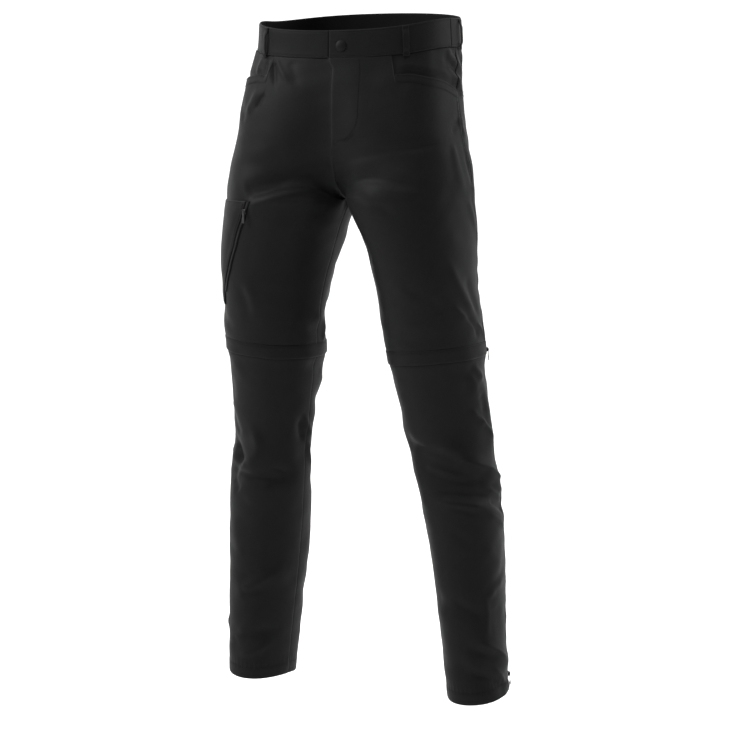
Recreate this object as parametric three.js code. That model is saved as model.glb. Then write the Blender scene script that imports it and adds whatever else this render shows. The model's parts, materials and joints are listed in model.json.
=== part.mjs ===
// Zip-off trousers, filled out with no wearer. Sizes in mm, +Z up.
// The origin is the middle of the waist's top edge. The front faces -Y and the wearer's left is +X.
import * as THREE from 'three';

// Driving sizes
const waistbandHeight = 42;
const crotchDrop = 268;
const forkHeight = 92;
const kneeTop = 494;
const kneeBottom = 504;
const hemDrop = 1032;
const clothWall = 1.6;
const seamGap = 0.15;
const zipWidth = 7;
const ankleZipTop = 880;

// Hip sections: drop from the waist, half width, front and back reach, middle in y,
// dip of the row at the front, rise at the back, hollow at the front seam, squareness
const hips = [
  { drop: 0, half: 153, front: 104, back: 108, midY: -2, dip: 19, rise: 13, hollow: 0, square: 0.04 },
  { drop: 42, half: 156, front: 104, back: 110, midY: -4, dip: 17, rise: 11, hollow: 0, square: 0.04 },
  { drop: 90, half: 163, front: 104, back: 120, midY: -15, dip: 10, rise: 6, hollow: 4, square: 0.05 },
  { drop: 150, half: 172, front: 105, back: 127, midY: -25, dip: 4, rise: 3, hollow: 13, square: 0.055 },
  { drop: 210, half: 184, front: 106, back: 128, midY: -29, dip: 0, rise: 0, hollow: 26, square: 0.055 },
  { drop: 268, half: 191, front: 108, back: 114, midY: -34, dip: 0, rise: 0, hollow: 40, square: 0.04 },
];

// Leg sections: drop, middle in x and y, half width, half depth, rise of the row outwards and backwards,
// degrees the section is turned out
const leg = [
  { drop: 268, midX: 97.15, midY: -31, half: 97, deep: 108, outRise: 0, backRise: 0, turned: 0 },
  { drop: 335, midX: 113, midY: -29, half: 84, deep: 104, outRise: 0.03, backRise: 0, turned: 10 },
  { drop: 400, midX: 123, midY: -28, half: 76, deep: 96, outRise: 0.05, backRise: 0, turned: 15 },
  { drop: 445, midX: 130, midY: -25, half: 75, deep: 87, outRise: 0.08, backRise: 0.03, turned: 15 },
  { drop: 500, midX: 136, midY: -18, half: 73, deep: 81, outRise: 0.09, backRise: 0.03, turned: 15 },
  { drop: 525, midX: 138, midY: -15, half: 69, deep: 76, outRise: 0.09, backRise: 0.03, turned: 15 },
  { drop: 620, midX: 149, midY: -1, half: 63, deep: 65, outRise: 0.09, backRise: 0, turned: 15 },
  { drop: 700, midX: 159, midY: 9, half: 61, deep: 64, outRise: 0.09, backRise: 0, turned: 15 },
  { drop: 780, midX: 168, midY: 23, half: 57, deep: 69, outRise: 0.09, backRise: 0, turned: 15 },
  { drop: 860, midX: 174, midY: 27, half: 53, deep: 68, outRise: 0.09, backRise: 0, turned: 15 },
  { drop: 940, midX: 180, midY: 27, half: 49, deep: 64, outRise: 0.09, backRise: 0, turned: 15 },
  { drop: 1032, midX: 187, midY: 29, half: 46, deep: 57, outRise: 0.09, backRise: 0, turned: 15 },
];

// Largest folds: side (1 the wearer's left, -1 right, 0 both), then the drop and turn of the start,
// middle and end of its line, its height (negative is a trough) and its width
const folds = [
  { side: 1, from: [631, 0.08], by: [660, 0.22], to: [684, 0.37], height: -5, width: 16 },
  { side: 1, from: [642, 0.27], by: [664, 0.36], to: [690, 0.48], height: 5, width: 16 },
  { side: 1, from: [668, 0.16], by: [699, 0.28], to: [728, 0.5], height: -4, width: 15 },
  { side: 1, from: [718, 0.24], by: [732, 0.36], to: [752, 0.5], height: 3, width: 16 },
  { side: 1, from: [540, 0.42], by: [587, 0.47], to: [634, 0.48], height: 4, width: 17 },
  { side: 1, from: [870, 0.11], by: [884, 0.2], to: [899, 0.29], height: -3, width: 16 },
  { side: 1, from: [925, 0.3], by: [946, 0.37], to: [973, 0.47], height: 4, width: 16 },
  { side: 1, from: [979, 0.22], by: [996, 0.32], to: [1012, 0.42], height: -3, width: 15 },
  { side: -1, from: [655, 0.31], by: [680, 0.28], to: [697, 0.3], height: -5, width: 16 },
  { side: -1, from: [640, 0.2], by: [672, 0.21], to: [696, 0.25], height: 3, width: 15 },
  { side: -1, from: [714, 0.34], by: [706, 0.22], to: [694, 0.08], height: -4, width: 15 },
  { side: -1, from: [888, 0.23], by: [872, 0.16], to: [858, 0.08], height: 3, width: 16 },
  { side: -1, from: [974, 0.27], by: [962, 0.18], to: [955, 0.1], height: -3, width: 15 },
  { side: -1, from: [254, 0.27], by: [236, 0.17], to: [208, 0.02], height: -5, width: 13 },
  { side: -1, from: [275, 0.26], by: [259, 0.17], to: [239, 0.06], height: 4, width: 12 },
  { side: -1, from: [52, 0.35], by: [84, 0.34], to: [128, 0.33], height: 4, width: 28 },
  { side: -1, from: [380, 0.88], by: [428, 0.88], to: [448, 0.88], height: -10, width: 30 },
  { side: -1, from: [622, 0.88], by: [645, 0.89], to: [668, 0.88], height: -6, width: 17 },
  { side: -1, from: [404, 0.36], by: [418, 0.36], to: [436, 0.36], height: -3, width: 24 },
  { side: -1, from: [500, 0.37], by: [535, 0.37], to: [568, 0.38], height: -4, width: 24 },
  { side: -1, from: [642, 0.4], by: [660, 0.4], to: [676, 0.4], height: -3, width: 18 },
  { side: 1, from: [286, 0.06], by: [308, 0.07], to: [334, 0.07], height: -8, width: 24 },
  { side: 1, from: [350, 0.06], by: [372, 0.06], to: [396, 0.05], height: -3, width: 26 },
  { side: 1, from: [650, 0.03], by: [680, 0.03], to: [704, 0.03], height: -3, width: 22 },
  { side: 1, from: [96, 0.65], by: [134, 0.65], to: [178, 0.65], height: -6, width: 30 },
  { side: 1, from: [190, 0.62], by: [226, 0.59], to: [268, 0.58], height: -4, width: 30 },
  { side: -1, from: [604, 0.38], by: [628, 0.36], to: [652, 0.36], height: -4, width: 20 },
  { side: -1, from: [618, 1], by: [640, 1], to: [660, 0.99], height: -3, width: 18 },
  { side: 1, from: [612, 0.02], by: [640, 0.02], to: [668, 0.03], height: 3, width: 22 },
  { side: 1, from: [712, 0.5], by: [722, 0.55], to: [736, 0.6], height: 5, width: 12 },
  { side: 0, from: [300, 0.68], by: [312, 0.8], to: [304, 0.92], height: -4, width: 18 },
  { side: 0, from: [345, 0.64], by: [352, 0.76], to: [340, 0.88], height: -3, width: 18 },
  { side: 1, from: [560, 0.62], by: [574, 0.74], to: [566, 0.88], height: -5, width: 16 },
  { side: 1, from: [612, 0.6], by: [600, 0.72], to: [606, 0.86], height: -4, width: 16 },
  { side: -1, from: [552, 0.64], by: [570, 0.76], to: [580, 0.9], height: -5, width: 16 },
  { side: -1, from: [622, 0.62], by: [606, 0.72], to: [598, 0.84], height: -4, width: 16 },
  { side: 1, from: [690, 0.62], by: [704, 0.74], to: [696, 0.86], height: -4, width: 16 },
  { side: -1, from: [676, 0.6], by: [694, 0.72], to: [702, 0.86], height: -4, width: 16 },
  { side: 1, from: [905, 0.6], by: [918, 0.74], to: [908, 0.88], height: -3, width: 15 },
  { side: -1, from: [915, 0.62], by: [904, 0.74], to: [896, 0.88], height: -3, width: 15 },
];

// Scooped mouth of the hip pockets: share of the front panel's width and drop of the edge
const mouthStart = 0.36;
const mouth = [
  { share: 0.36, drop: 42.3 },
  { share: 0.374, drop: 74 },
  { share: 0.48, drop: 75 },
  { share: 0.64, drop: 84 },
  { share: 0.8, drop: 92 },
  { share: 1, drop: 106 },
];

// Front edge of the thigh pocket, where its zip runs: drop and turn
const thighZip = [
  { drop: 272, turn: 0.288 },
  { drop: 300, turn: 0.284 },
  { drop: 340, turn: 0.283 },
  { drop: 375, turn: 0.295 },
  { drop: 412, turn: 0.318 },
];

// A smooth curve through a table's rows at the place given by its first column
function readTable(table, key, place) {
  const last = table.length - 1;
  const at = THREE.MathUtils.clamp(place, table[0][key], table[last][key]);
  let i = 0;
  while (i < last - 1 && at > table[i + 1][key]) i += 1;
  const step = table[i + 1][key] - table[i][key];
  const u = (at - table[i][key]) / step;
  const slope = (row, name) => {
    const a = table[Math.max(row - 1, 0)];
    const b = table[Math.min(row + 1, last)];
    return (b[name] - a[name]) / (b[key] - a[key]) * step;
  };
  const value = {};
  for (const name of Object.keys(table[0])) {
    const start = table[i][name];
    const end = table[i + 1][name];
    const rise = slope(i, name);
    const fall = slope(i + 1, name);
    value[name] = (2 * u ** 3 - 3 * u ** 2 + 1) * start + (u ** 3 - 2 * u ** 2 + u) * rise
      + (3 * u ** 2 - 2 * u ** 3) * end + (u ** 3 - u ** 2) * fall;
  }
  return value;
}

function readLine(table, key, place, name) {
  const last = table.length - 1;
  if (place <= table[0][key]) return table[0][name];
  if (place >= table[last][key]) return table[last][name];
  const i = table.findIndex((row) => row[key] > place) - 1;
  const u = (place - table[i][key]) / (table[i + 1][key] - table[i][key]);
  return table[i][name] + u * (table[i + 1][name] - table[i][name]);
}

const smooth = (from, to, value) => THREE.MathUtils.smoothstep(value, from, to);

function oval(angle, square) {
  return {
    side: (Math.sin(angle) + square * Math.sin(3 * angle)) / (1 - square),
    front: (Math.cos(angle) - square * Math.cos(3 * angle)) / (1 - square),
  };
}

// A point of the hips: turn 0 is the front seam, 0.5 the side and 1 the back seam
function hipPoint(drop, turn) {
  const s = readTable(hips, 'drop', drop);
  const o = oval(Math.PI * turn, s.square);
  const x = s.half * o.side;
  const inFront = o.front > 0;
  const y = inFront ? -s.front * o.front + s.hollow * Math.exp(-((x / 48) ** 2)) : -s.back * o.front;
  const lift = inFront ? -s.dip * o.front ** 2 : s.rise * o.front ** 2;
  return new THREE.Vector3(x, s.midY + y, -drop + lift);
}

// A point of the leg: turn 0 is the inner seam, 0.25 the front and 0.5 the outer side
function legPoint(drop, turn) {
  const s = readTable(leg, 'drop', drop);
  const o = oval(2 * Math.PI * turn, 0.015);
  const x = -s.half * o.front;
  const y = -s.deep * o.side;
  const angle = THREE.MathUtils.degToRad(s.turned);
  const outX = x * Math.cos(angle) - y * Math.sin(angle);
  const outY = x * Math.sin(angle) + y * Math.cos(angle);
  return new THREE.Vector3(s.midX + outX, s.midY + outY, -drop + s.outRise * outX + s.backRise * outY);
}

// Rows run down the front seam and round the fork, so a row is longer than its drop below the hips
const forkStart = crotchDrop - forkHeight;
const forkLength = forkHeight * Math.PI / 2;
const forkEnd = forkStart + forkLength;
const forkRound = 26;

function rowOf(drop) {
  if (drop < forkStart) return drop;
  if (drop > crotchDrop) return drop - crotchDrop + forkEnd;
  return forkStart + (drop - forkStart) * forkLength / forkHeight;
}

function dropOf(row) {
  if (row < forkStart) return row;
  if (row > forkEnd) return row - forkEnd + crotchDrop;
  return forkStart + (row - forkStart) * forkHeight / forkLength;
}

function joinedPoint(row, turn) {
  if (row <= forkStart) {
    const p = hipPoint(row, turn);
    p.x += seamGap;
    return p;
  }
  if (row >= forkEnd) return legPoint(dropOf(row), turn);
  const s = (row - forkStart) / forkLength;
  const near = Math.cos(Math.PI * turn) ** 8;
  const drop = forkStart + forkHeight * (near * Math.sin(s * Math.PI / 2) + (1 - near) * s);
  const parted = near * (1 - Math.cos(s * Math.PI / 2)) + (1 - near) * s * s * (3 - 2 * s);
  const hip = hipPoint(drop, turn);
  hip.x += seamGap;
  const thigh = legPoint(crotchDrop, turn);
  thigh.z += crotchDrop - drop;
  return hip.lerp(thigh, parted);
}

// The cloth rounds off the turn inwards at the fork, except at the inner seam itself
function basePoint(row, turn) {
  const apart = Math.abs(turn - Math.round(turn));
  const reach = forkRound * smooth(0, 0.07, apart) * (1 - smooth(0.18, 0.26, apart))
    * smooth(forkEnd - 75, forkEnd - 35, row) * (1 - smooth(forkEnd + 30, forkEnd + 65, row));
  if (reach < 0.01) return joinedPoint(row, turn);
  const middle = joinedPoint(row, turn).multiplyScalar(0.25);
  for (const shift of [-1, -0.5, 0.5, 1]) {
    const weight = Math.abs(shift) < 1 ? 0.25 : 0.125;
    middle.addScaledVector(joinedPoint(row + shift * reach, turn), weight);
  }
  return middle;
}

// Millimetres round the cloth for a whole turn
function roundLength(row) {
  if (row < forkStart) {
    const s = readTable(hips, 'drop', row);
    return Math.PI * Math.hypot(s.half, (s.front + s.back) / 2) / Math.SQRT2;
  }
  const s = readTable(leg, 'drop', dropOf(row));
  return 2 * Math.PI * Math.hypot(s.half, s.deep) / Math.SQRT2;
}

function foldHeight(side, row, turn) {
  const drop = dropOf(row);
  const wide = roundLength(row);
  let height = 0;
  for (const fold of folds) {
    if (fold.side !== 0 && fold.side !== side) continue;
    let nearest = Infinity;
    for (let k = 0; k <= 16; k += 1) {
      const u = k / 16;
      const mix = (i) => {
        const bend = 2 * fold.by[i] - (fold.from[i] + fold.to[i]) / 2;
        return (1 - u) ** 2 * fold.from[i] + 2 * u * (1 - u) * bend + u ** 2 * fold.to[i];
      };
      nearest = Math.min(nearest, Math.hypot(drop - mix(0), (turn - mix(1)) * wide));
    }
    height += fold.height * Math.exp(-((nearest / fold.width) ** 2));
  }
  return height;
}

// The cloth's outer face and its normal on one side of the trousers
function clothAt(side, row, turn) {
  const middle = basePoint(row, turn);
  const downward = basePoint(row + 1, turn).sub(basePoint(row - 1, turn));
  const around = basePoint(row, turn + 0.004).sub(basePoint(row, turn - 0.004));
  const normal = downward.cross(around).normalize();
  middle.addScaledVector(normal, foldHeight(side, row, turn));
  middle.x *= side;
  normal.x *= side;
  return { point: middle, normal };
}

// Seams: the inner seam lies a little behind the leg's inner side, the outer one behind its outer side
const innerSeam = (row) => -0.026 * smooth(forkEnd + 5, forkEnd + 90, row);
const outerSeam = (row) => 0.515 + 0.015 * smooth(100, 420, row);
const innerGap = (row) => seamGap / roundLength(row) * smooth(forkEnd - 25, forkEnd, row);
const ankleZipRow = rowOf(ankleZipTop);
const outerGap = (row) => {
  const opened = (zipWidth / 2 + 0.2) * smooth(ankleZipRow - 15, ankleZipRow, row);
  return (seamGap + opened) / roundLength(row);
};

// A closed wall between two offsets from a surface. place(a, b) gives a point and a normal for the
// fractions a across and b down, and low and high are the offsets of its inner and outer faces.
function wallGeometry(across, down, place, low, high) {
  const offset = (value, a, b) => (typeof value === 'function' ? value(a, b) : value);
  const points = [];
  for (const face of [high, low]) {
    for (const b of down) {
      for (const a of across) {
        const { point, normal } = place(a, b);
        const p = point.clone().addScaledVector(normal, offset(face, a, b));
        points.push(p.x, p.y, p.z);
      }
    }
  }
  const columns = across.length;
  const rows = down.length;
  const layer = columns * rows;
  const triangles = [];
  const quad = (a, b, c, d) => triangles.push(a, b, c, a, c, d);
  for (let j = 0; j < rows - 1; j += 1) {
    for (let i = 0; i < columns - 1; i += 1) {
      const k = j * columns + i;
      quad(k, k + columns, k + columns + 1, k + 1);
      quad(layer + k, layer + k + 1, layer + k + columns + 1, layer + k + columns);
    }
  }
  const rim = [];
  for (let i = 0; i < columns; i += 1) rim.push(i);
  for (let j = 1; j < rows; j += 1) rim.push(j * columns + columns - 1);
  for (let i = columns - 2; i >= 0; i -= 1) rim.push((rows - 1) * columns + i);
  for (let j = rows - 2; j > 0; j -= 1) rim.push(j * columns);
  rim.forEach((a, n) => {
    const b = rim[(n + 1) % rim.length];
    quad(a, b, layer + b, layer + a);
  });
  return closedGeometry(points, triangles);
}

function closedGeometry(points, triangles) {
  const corner = (i) => new THREE.Vector3(points[3 * i], points[3 * i + 1], points[3 * i + 2]);
  let volume = 0;
  for (let i = 0; i < triangles.length; i += 3) {
    const [a, b, c] = [corner(triangles[i]), corner(triangles[i + 1]), corner(triangles[i + 2])];
    volume += a.dot(b.cross(c));
  }
  const outward = volume < 0 ? triangles.slice().reverse() : triangles;
  const geometry = new THREE.BufferGeometry();
  geometry.setAttribute('position', new THREE.Float32BufferAttribute(points, 3));
  geometry.setIndex(outward);
  geometry.computeVertexNormals();
  return geometry;
}

const part = new THREE.Group();

function add(name, geometry, finish) {
  const material = new THREE.MeshStandardMaterial(finish);
  const mesh = new THREE.Mesh(geometry, material);
  mesh.name = name;
  part.add(mesh);
}

const cloth = { color: '#2c2c2e', roughness: 0.85, metalness: 0 };
const innerCloth = { color: '#242426', roughness: 0.9, metalness: 0 };
const tape = { color: '#19191b', roughness: 0.8, metalness: 0 };
const slider = { color: '#3a3a3d', roughness: 0.4, metalness: 0.7 };
const pull = { color: '#161617', roughness: 0.5, metalness: 0 };
const stud = { color: '#1c1c1e', roughness: 0.35, metalness: 0.8 };

const even = (count) => Array.from({ length: count + 1 }, (_, i) => i / count);

// Panels: each keeps its grid, so what lies on it can be made from its points
const panels = {};

function panel(name, side, columns, rows, turnAt, rowAt) {
  const grid = rows.map((b) => columns.map((a) => {
    const row = rowAt(a, b);
    return clothAt(side, row, turnAt(a, row));
  }));
  const place = (a, b) => grid[rows.indexOf(b)][columns.indexOf(a)];
  add(name, wallGeometry(columns, rows, place, -clothWall, 0), cloth);
  panels[name] = { columns, rows, grid };
}

// A point on a panel's own facets, for a share of its width and one of its rows
function onPanel(name, a, b) {
  const { columns, rows, grid } = panels[name];
  const find = (list, value) => {
    let i = 0;
    while (i < list.length - 2 && value > list[i + 1]) i += 1;
    return [i, (value - list[i]) / (list[i + 1] - list[i])];
  };
  const [i, u] = find(columns, a);
  const [j, v] = find(rows, b);
  const blend = (key) => {
    const start = grid[j][i][key];
    const end = grid[j + 1][i + 1][key];
    const corner = u > v ? grid[j][i + 1][key] : grid[j + 1][i][key];
    const first = u > v ? u : v;
    const second = u > v ? v : u;
    const step = corner.clone().sub(start).multiplyScalar(first);
    return step.add(end.clone().sub(corner).multiplyScalar(second)).add(start);
  };
  return { point: blend('point'), normal: blend('normal').normalize() };
}

const upperTop = waistbandHeight + 0.3;
const upperEnd = rowOf(kneeTop);
const lowerStart = rowOf(kneeBottom);
const lowerEnd = rowOf(hemDrop);
const sharedFrom = 200;
const mouthEnd = 106;
const frontTurn = (a, row) => innerSeam(row) + innerGap(row)
  + a * (outerSeam(row) - outerGap(row) - innerSeam(row) - innerGap(row));
const backTurn = (a, row) => outerSeam(row) + outerGap(row)
  + a * (1 + innerSeam(row) - innerGap(row) - outerSeam(row) - outerGap(row));

const steps = (from, to, count) => Array.from({ length: count }, (_, i) => from + (to - from) * i / count);
const sharedRows = [200, 216, 232, 248, 264, 278, 292, 306, 320, 336, 356, 378, 400, 424, 448, 472, 496, 521];
sharedRows.push(upperEnd);
const frontRows = [...steps(upperTop, sharedFrom, 5), ...sharedRows];
const backRows = [...steps(upperTop, mouthEnd, 3), ...steps(mouthEnd, sharedFrom, 5), ...sharedRows];
const lowerRows = [...steps(lowerStart, ankleZipRow, 24), ...steps(ankleZipRow, lowerEnd, 9), lowerEnd];
const frontColumns = [0, 0.09, 0.18, 0.27, 0.36, 0.374, 0.45, 0.53, 0.61, 0.7, 0.8, 0.9, 1];
const backColumns = even(12);
const lowerColumns = even(13);

// Above the shared rows the front panel's rows close up under the pocket mouth
const mouthTop = (a) => readLine(mouth, 'share', a, 'drop');
const frontRow = (a, full) => {
  if (full >= sharedFrom) return full;
  return mouthTop(a) + (full - upperTop) / (sharedFrom - upperTop) * (sharedFrom - mouthTop(a));
};
const sameRow = (a, row) => row;
const hemRise = 6;
const hemRow = (a, row) => row - hemRise * smooth(lowerEnd - 80, lowerEnd, row) * Math.cos(Math.PI * a) ** 2;

for (const [side, word] of [[1, 'left'], [-1, 'right']]) {
  panel(`front_upper_${word}`, side, frontColumns, frontRows, frontTurn, frontRow);
  panel(`back_upper_${word}`, side, backColumns, backRows, backTurn, sameRow);
  panel(`front_lower_${word}`, side, lowerColumns, lowerRows, frontTurn, hemRow);
  panel(`back_lower_${word}`, side, lowerColumns, lowerRows, backTurn, hemRow);
}

// Waistband
const bandOut = 0.8;
const bandEnd = 0.47;

function bandAt(row, turn) {
  const p = hipPoint(row, turn);
  const downward = hipPoint(row + 1, turn).sub(hipPoint(Math.max(row - 1, 0), turn));
  const around = hipPoint(row, turn + 0.004).sub(hipPoint(row, turn - 0.004));
  return { point: p, normal: downward.cross(around).normalize() };
}

function band(name, fromTurn, toTurn, count) {
  const place = (a, b) => bandAt(b * waistbandHeight, fromTurn + a * (toTurn - fromTurn));
  add(name, wallGeometry(even(count), [0, 0.5, 1], place, -clothWall, bandOut), cloth);
}

const bandGap = 0.0004;
band('waistband_left_front', -0.004, bandEnd - bandGap, 14);
band('waistband_right_front', -bandEnd + bandGap, -0.005, 14);
band('waistband_back', bandEnd + bandGap, 2 - bandEnd - bandGap, 32);

// Belt loops: flat strips sewn down at both ends and standing a little off the band between
const loopWidth = 10;
const loopWall = 1.2;
const loopRows = [0, 0.1, 0.22, 0.5, 0.78, 0.9, 1];

function beltLoop(name, turn, bulge) {
  const half = loopWidth / 2 / roundLength(20);
  const place = (a, b) => {
    const row = 1 + b * 46;
    const edge = bandAt(row, turn - half).point.lerp(bandAt(row, turn + half).point, a);
    return { point: edge, normal: bandAt(row, turn).normal };
  };
  const rise = (a, b) => bandOut + 0.6 + bulge * smooth(0.08, 0.3, b) * (1 - smooth(0.7, 0.92, b));
  add(name, wallGeometry([0, 0.5, 1], loopRows, place, rise, (a, b) => rise(a, b) + loopWall), cloth);
}

beltLoop('belt_loop_front_left', 0.236, 2.4);
beltLoop('belt_loop_front_right', -0.236, 2.6);
beltLoop('belt_loop_side_left', 0.56, 2.2);
beltLoop('belt_loop_side_right', -0.56, 2.2);
beltLoop('belt_loop_back', 1, 2.2);

// Pocket facings behind the scooped mouths
const facingLow = -4;
const facingStart = mouthStart - 0.03;
for (const [side, word] of [[1, 'left'], [-1, 'right']]) {
  const place = (a, b) => {
    const share = facingStart + a * (1 - facingStart);
    const row = upperTop + b * (mouthTop(Math.max(share, 0.374)) + 24 - upperTop);
    return clothAt(side, row, frontTurn(share, row));
  };
  add(`pocket_facing_${word}`, wallGeometry(even(9), [0, 0.12, 0.25, 0.38, 0.52, 0.75, 1], place,
    facingLow, facingLow + 1.3), innerCloth);
}

// Placket behind the fly
{
  const place = (a, b) => clothAt(1, 3 + b * 160, 0.001 + a * 0.085);
  add('fly_placket', wallGeometry(even(3), even(8), place, -3.6, -2.2), innerCloth);
}

// Knee flaps: strips sewn on above the zip, hanging over it, open at the outer seam
const flapTop = rowOf(484);
const flapEnd = rowOf(505);
const flapOpen = 8;

for (const [side, word] of [[1, 'left'], [-1, 'right']]) {
  const turns = [];
  for (const a of backColumns.slice(0, -1)) turns.push(backTurn(a, upperEnd));
  for (const a of frontColumns) turns.push(frontTurn(a, upperEnd) + 1);
  const ring = (from, to) => {
    const inside = turns.filter((t) => t > from + 0.01 && t < to - 0.01);
    return [from, ...inside, to];
  };
  const strip = (margin) => {
    const open = margin / roundLength(upperEnd);
    const list = ring(outerSeam(upperEnd) + open, outerSeam(upperEnd) + 1 - open);
    const first = list[0];
    const span = list[list.length - 1] - first;
    return { across: list.map((t) => (t - first) / span), turnAt: (a) => first + a * span };
  };
  const flap = strip(flapOpen);
  const flapPlace = (a, b) => clothAt(side, flapTop + b * (flapEnd - flapTop), flap.turnAt(a));
  const rise = (a, b) => 0.4 + 0.8 * b;
  const top = (a, b) => rise(a, b) + 1.4;
  add(`knee_flap_${word}`, wallGeometry(flap.across, [0, 0.5, 1], flapPlace, rise, top), cloth);

  const zip = strip(0.5);
  const zipTop = upperEnd + 0.3;
  const zipEnd = lowerStart - 0.3;
  const zipPlace = (a, b) => clothAt(side, zipTop + b * (zipEnd - zipTop), zip.turnAt(a));
  add(`knee_zip_${word}`, wallGeometry(zip.across, [0, 0.5, 1], zipPlace, -1.4, -0.3), tape);
}

// Ankle zips in the outer seams
const ankleEnd = lowerEnd - hemRise - 3;
const ankleInside = lowerRows.filter((row) => row > ankleZipRow + 1 && row < ankleEnd - 1);
const ankleRows = [ankleZipRow + 0.5, ...ankleInside, ankleEnd];
for (const [side, word] of [[1, 'left'], [-1, 'right']]) {
  const place = (a, row) => {
    const half = (zipWidth / 2 - 0.1) / roundLength(row);
    return clothAt(side, row, outerSeam(row) + (2 * a - 1) * half);
  };
  add(`ankle_zip_${word}`, wallGeometry([0, 0.5, 1], ankleRows, place, -1.4, -0.2), tape);
}

// Thigh pocket on the wearer's right, a patch with its zip along the front edge
const pocketTop = 270;
const pocketEnd = 432;
const pocketBack = 0.62;

function onUpper(word, row, turn) {
  if (turn >= outerSeam(row)) {
    const first = backTurn(0, row);
    return onPanel(`back_upper_${word}`, Math.max((turn - first) / (backTurn(1, row) - first), 0), row);
  }
  const first = frontTurn(0, row);
  return onPanel(`front_upper_${word}`, Math.min((turn - first) / (frontTurn(1, row) - first), 1), row);
}

const pocketEdge = (row) => readLine(thighZip, 'drop', dropOf(row), 'turn');
const pocketInside = sharedRows.filter((row) => row > 330 && row < 480);
const pocketRows = [rowOf(pocketTop), ...pocketInside, rowOf(pocketEnd)];
const pocketColumns = [0, 0.04, 0.08, 0.12, 0.16, 0.2, 0.24, 0.28];
{
  const later = [
    ...frontColumns.filter((a) => a > 0.65).map((a) => (row) => frontTurn(a, row)),
    ...backColumns.filter((a) => backTurn(a, 400) < pocketBack).map((a) => (row) => backTurn(a, row)),
    () => pocketBack,
  ];
  const columns = [...pocketColumns, ...later.map((_, i) => i + 1)];
  const turnAt = (a, row) => {
    const start = pocketEdge(row) + 0.3 / roundLength(row);
    return a < 1 ? start + a / 0.32 * (later[0](row) - start) : later[a - 1](row);
  };
  const place = (a, row) => onUpper('right', row, turnAt(a, row));
  const low = (a) => (a > 0 && a < later.length ? 1.2 : 0.8);
  add('thigh_pocket', wallGeometry(columns, pocketRows, place, low, (a) => low(a) + 1.5), cloth);
}
{
  const rows = pocketRows.filter((row) => row < rowOf(414));
  const place = (a, row) => {
    const wide = roundLength(row);
    return onUpper('right', row, pocketEdge(row) - 0.3 / wide - (1 - a) * zipWidth / wide);
  };
  add('thigh_zip', wallGeometry([0, 0.5, 1], rows, place, 0.5, 1.7), tape);
}

// Sliders and pull tabs. The slider is a channel, and the tab's round head turns between its sides.
const sliderLength = 8;
const channelHalf = 2.5;
const channelSide = 1.3;
const channelFloor = 1.6;
const channelHeight = 4.4;
const tabHalf = 2.2;
const tabLength = 17;
const headRadius = 1.1;
const headHeight = 3.1;

function sliderGeometry() {
  const outer = channelHalf + channelSide;
  const shape = new THREE.Shape();
  shape.moveTo(-outer, 0);
  shape.lineTo(outer, 0);
  shape.lineTo(outer, channelHeight);
  shape.lineTo(channelHalf, channelHeight);
  shape.lineTo(channelHalf, channelFloor);
  shape.lineTo(-channelHalf, channelFloor);
  shape.lineTo(-channelHalf, channelHeight);
  shape.lineTo(-outer, channelHeight);
  shape.closePath();
  const geometry = new THREE.ExtrudeGeometry(shape, { depth: sliderLength, bevelEnabled: false });
  geometry.translate(0, 0, -sliderLength / 2);
  return geometry;
}

function tabGeometry() {
  const shape = new THREE.Shape();
  const thin = 0.65;
  const thick = 1;
  const meet = Math.sqrt(headRadius ** 2 - thin ** 2);
  const half = Math.atan2(thin, meet);
  shape.moveTo(meet, thin);
  shape.absarc(0, 0, headRadius, half, 2 * Math.PI - half, false);
  shape.lineTo(tabLength - 6.5, -thin);
  shape.lineTo(tabLength - 5, -thick);
  shape.lineTo(tabLength - 0.6, -thick);
  shape.lineTo(tabLength, -thick + 0.6);
  shape.lineTo(tabLength, thick - 0.6);
  shape.lineTo(tabLength - 0.6, thick);
  shape.lineTo(tabLength - 5, thick);
  shape.lineTo(tabLength - 6.5, thin);
  shape.closePath();
  const cut = { depth: 2 * tabHalf, bevelEnabled: false, curveSegments: 7 };
  const geometry = new THREE.ExtrudeGeometry(shape, cut);
  geometry.translate(0, 0, -tabHalf);
  return geometry;
}

// seat: the point on the tape's outer face, its normal, and the way the tab hangs
function addSlider(word, seat, hang) {
  const out = seat.normal.clone().normalize();
  const down = hang.clone().addScaledVector(out, -hang.dot(out)).normalize();
  const across = out.clone().cross(down).normalize();
  const base = new THREE.Matrix4().makeBasis(across, out, down).setPosition(seat.point);
  add(`${word}_slider`, sliderGeometry().applyMatrix4(base), slider);
  const head = seat.point.clone().addScaledVector(out, headHeight);
  const tabBase = new THREE.Matrix4().makeBasis(down, out, down.clone().cross(out)).setPosition(head);
  add(`${word}_pull`, tabGeometry().applyMatrix4(tabBase), pull);
}

const straightDown = new THREE.Vector3(0, 0, -1);
function seatOn(spot, rise) {
  return { point: spot.point.clone().addScaledVector(spot.normal, rise), normal: spot.normal };
}

const thighRow = rowOf(286);
const thighTurn = pocketEdge(thighRow) - (0.3 + zipWidth / 2) / roundLength(thighRow);
addSlider('thigh_zip', seatOn(onUpper('right', thighRow, thighTurn), 2.1), straightDown);
for (const [side, word] of [[1, 'left'], [-1, 'right']]) {
  const knee = clothAt(side, (upperEnd + lowerStart) / 2, outerSeam(600));
  addSlider(`knee_zip_${word}`, seatOn(knee, 0.4), straightDown);
  const ankle = clothAt(side, rowOf(1000), outerSeam(1050));
  addSlider(`ankle_zip_${word}`, seatOn(ankle, 0.3), straightDown);
}

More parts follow.
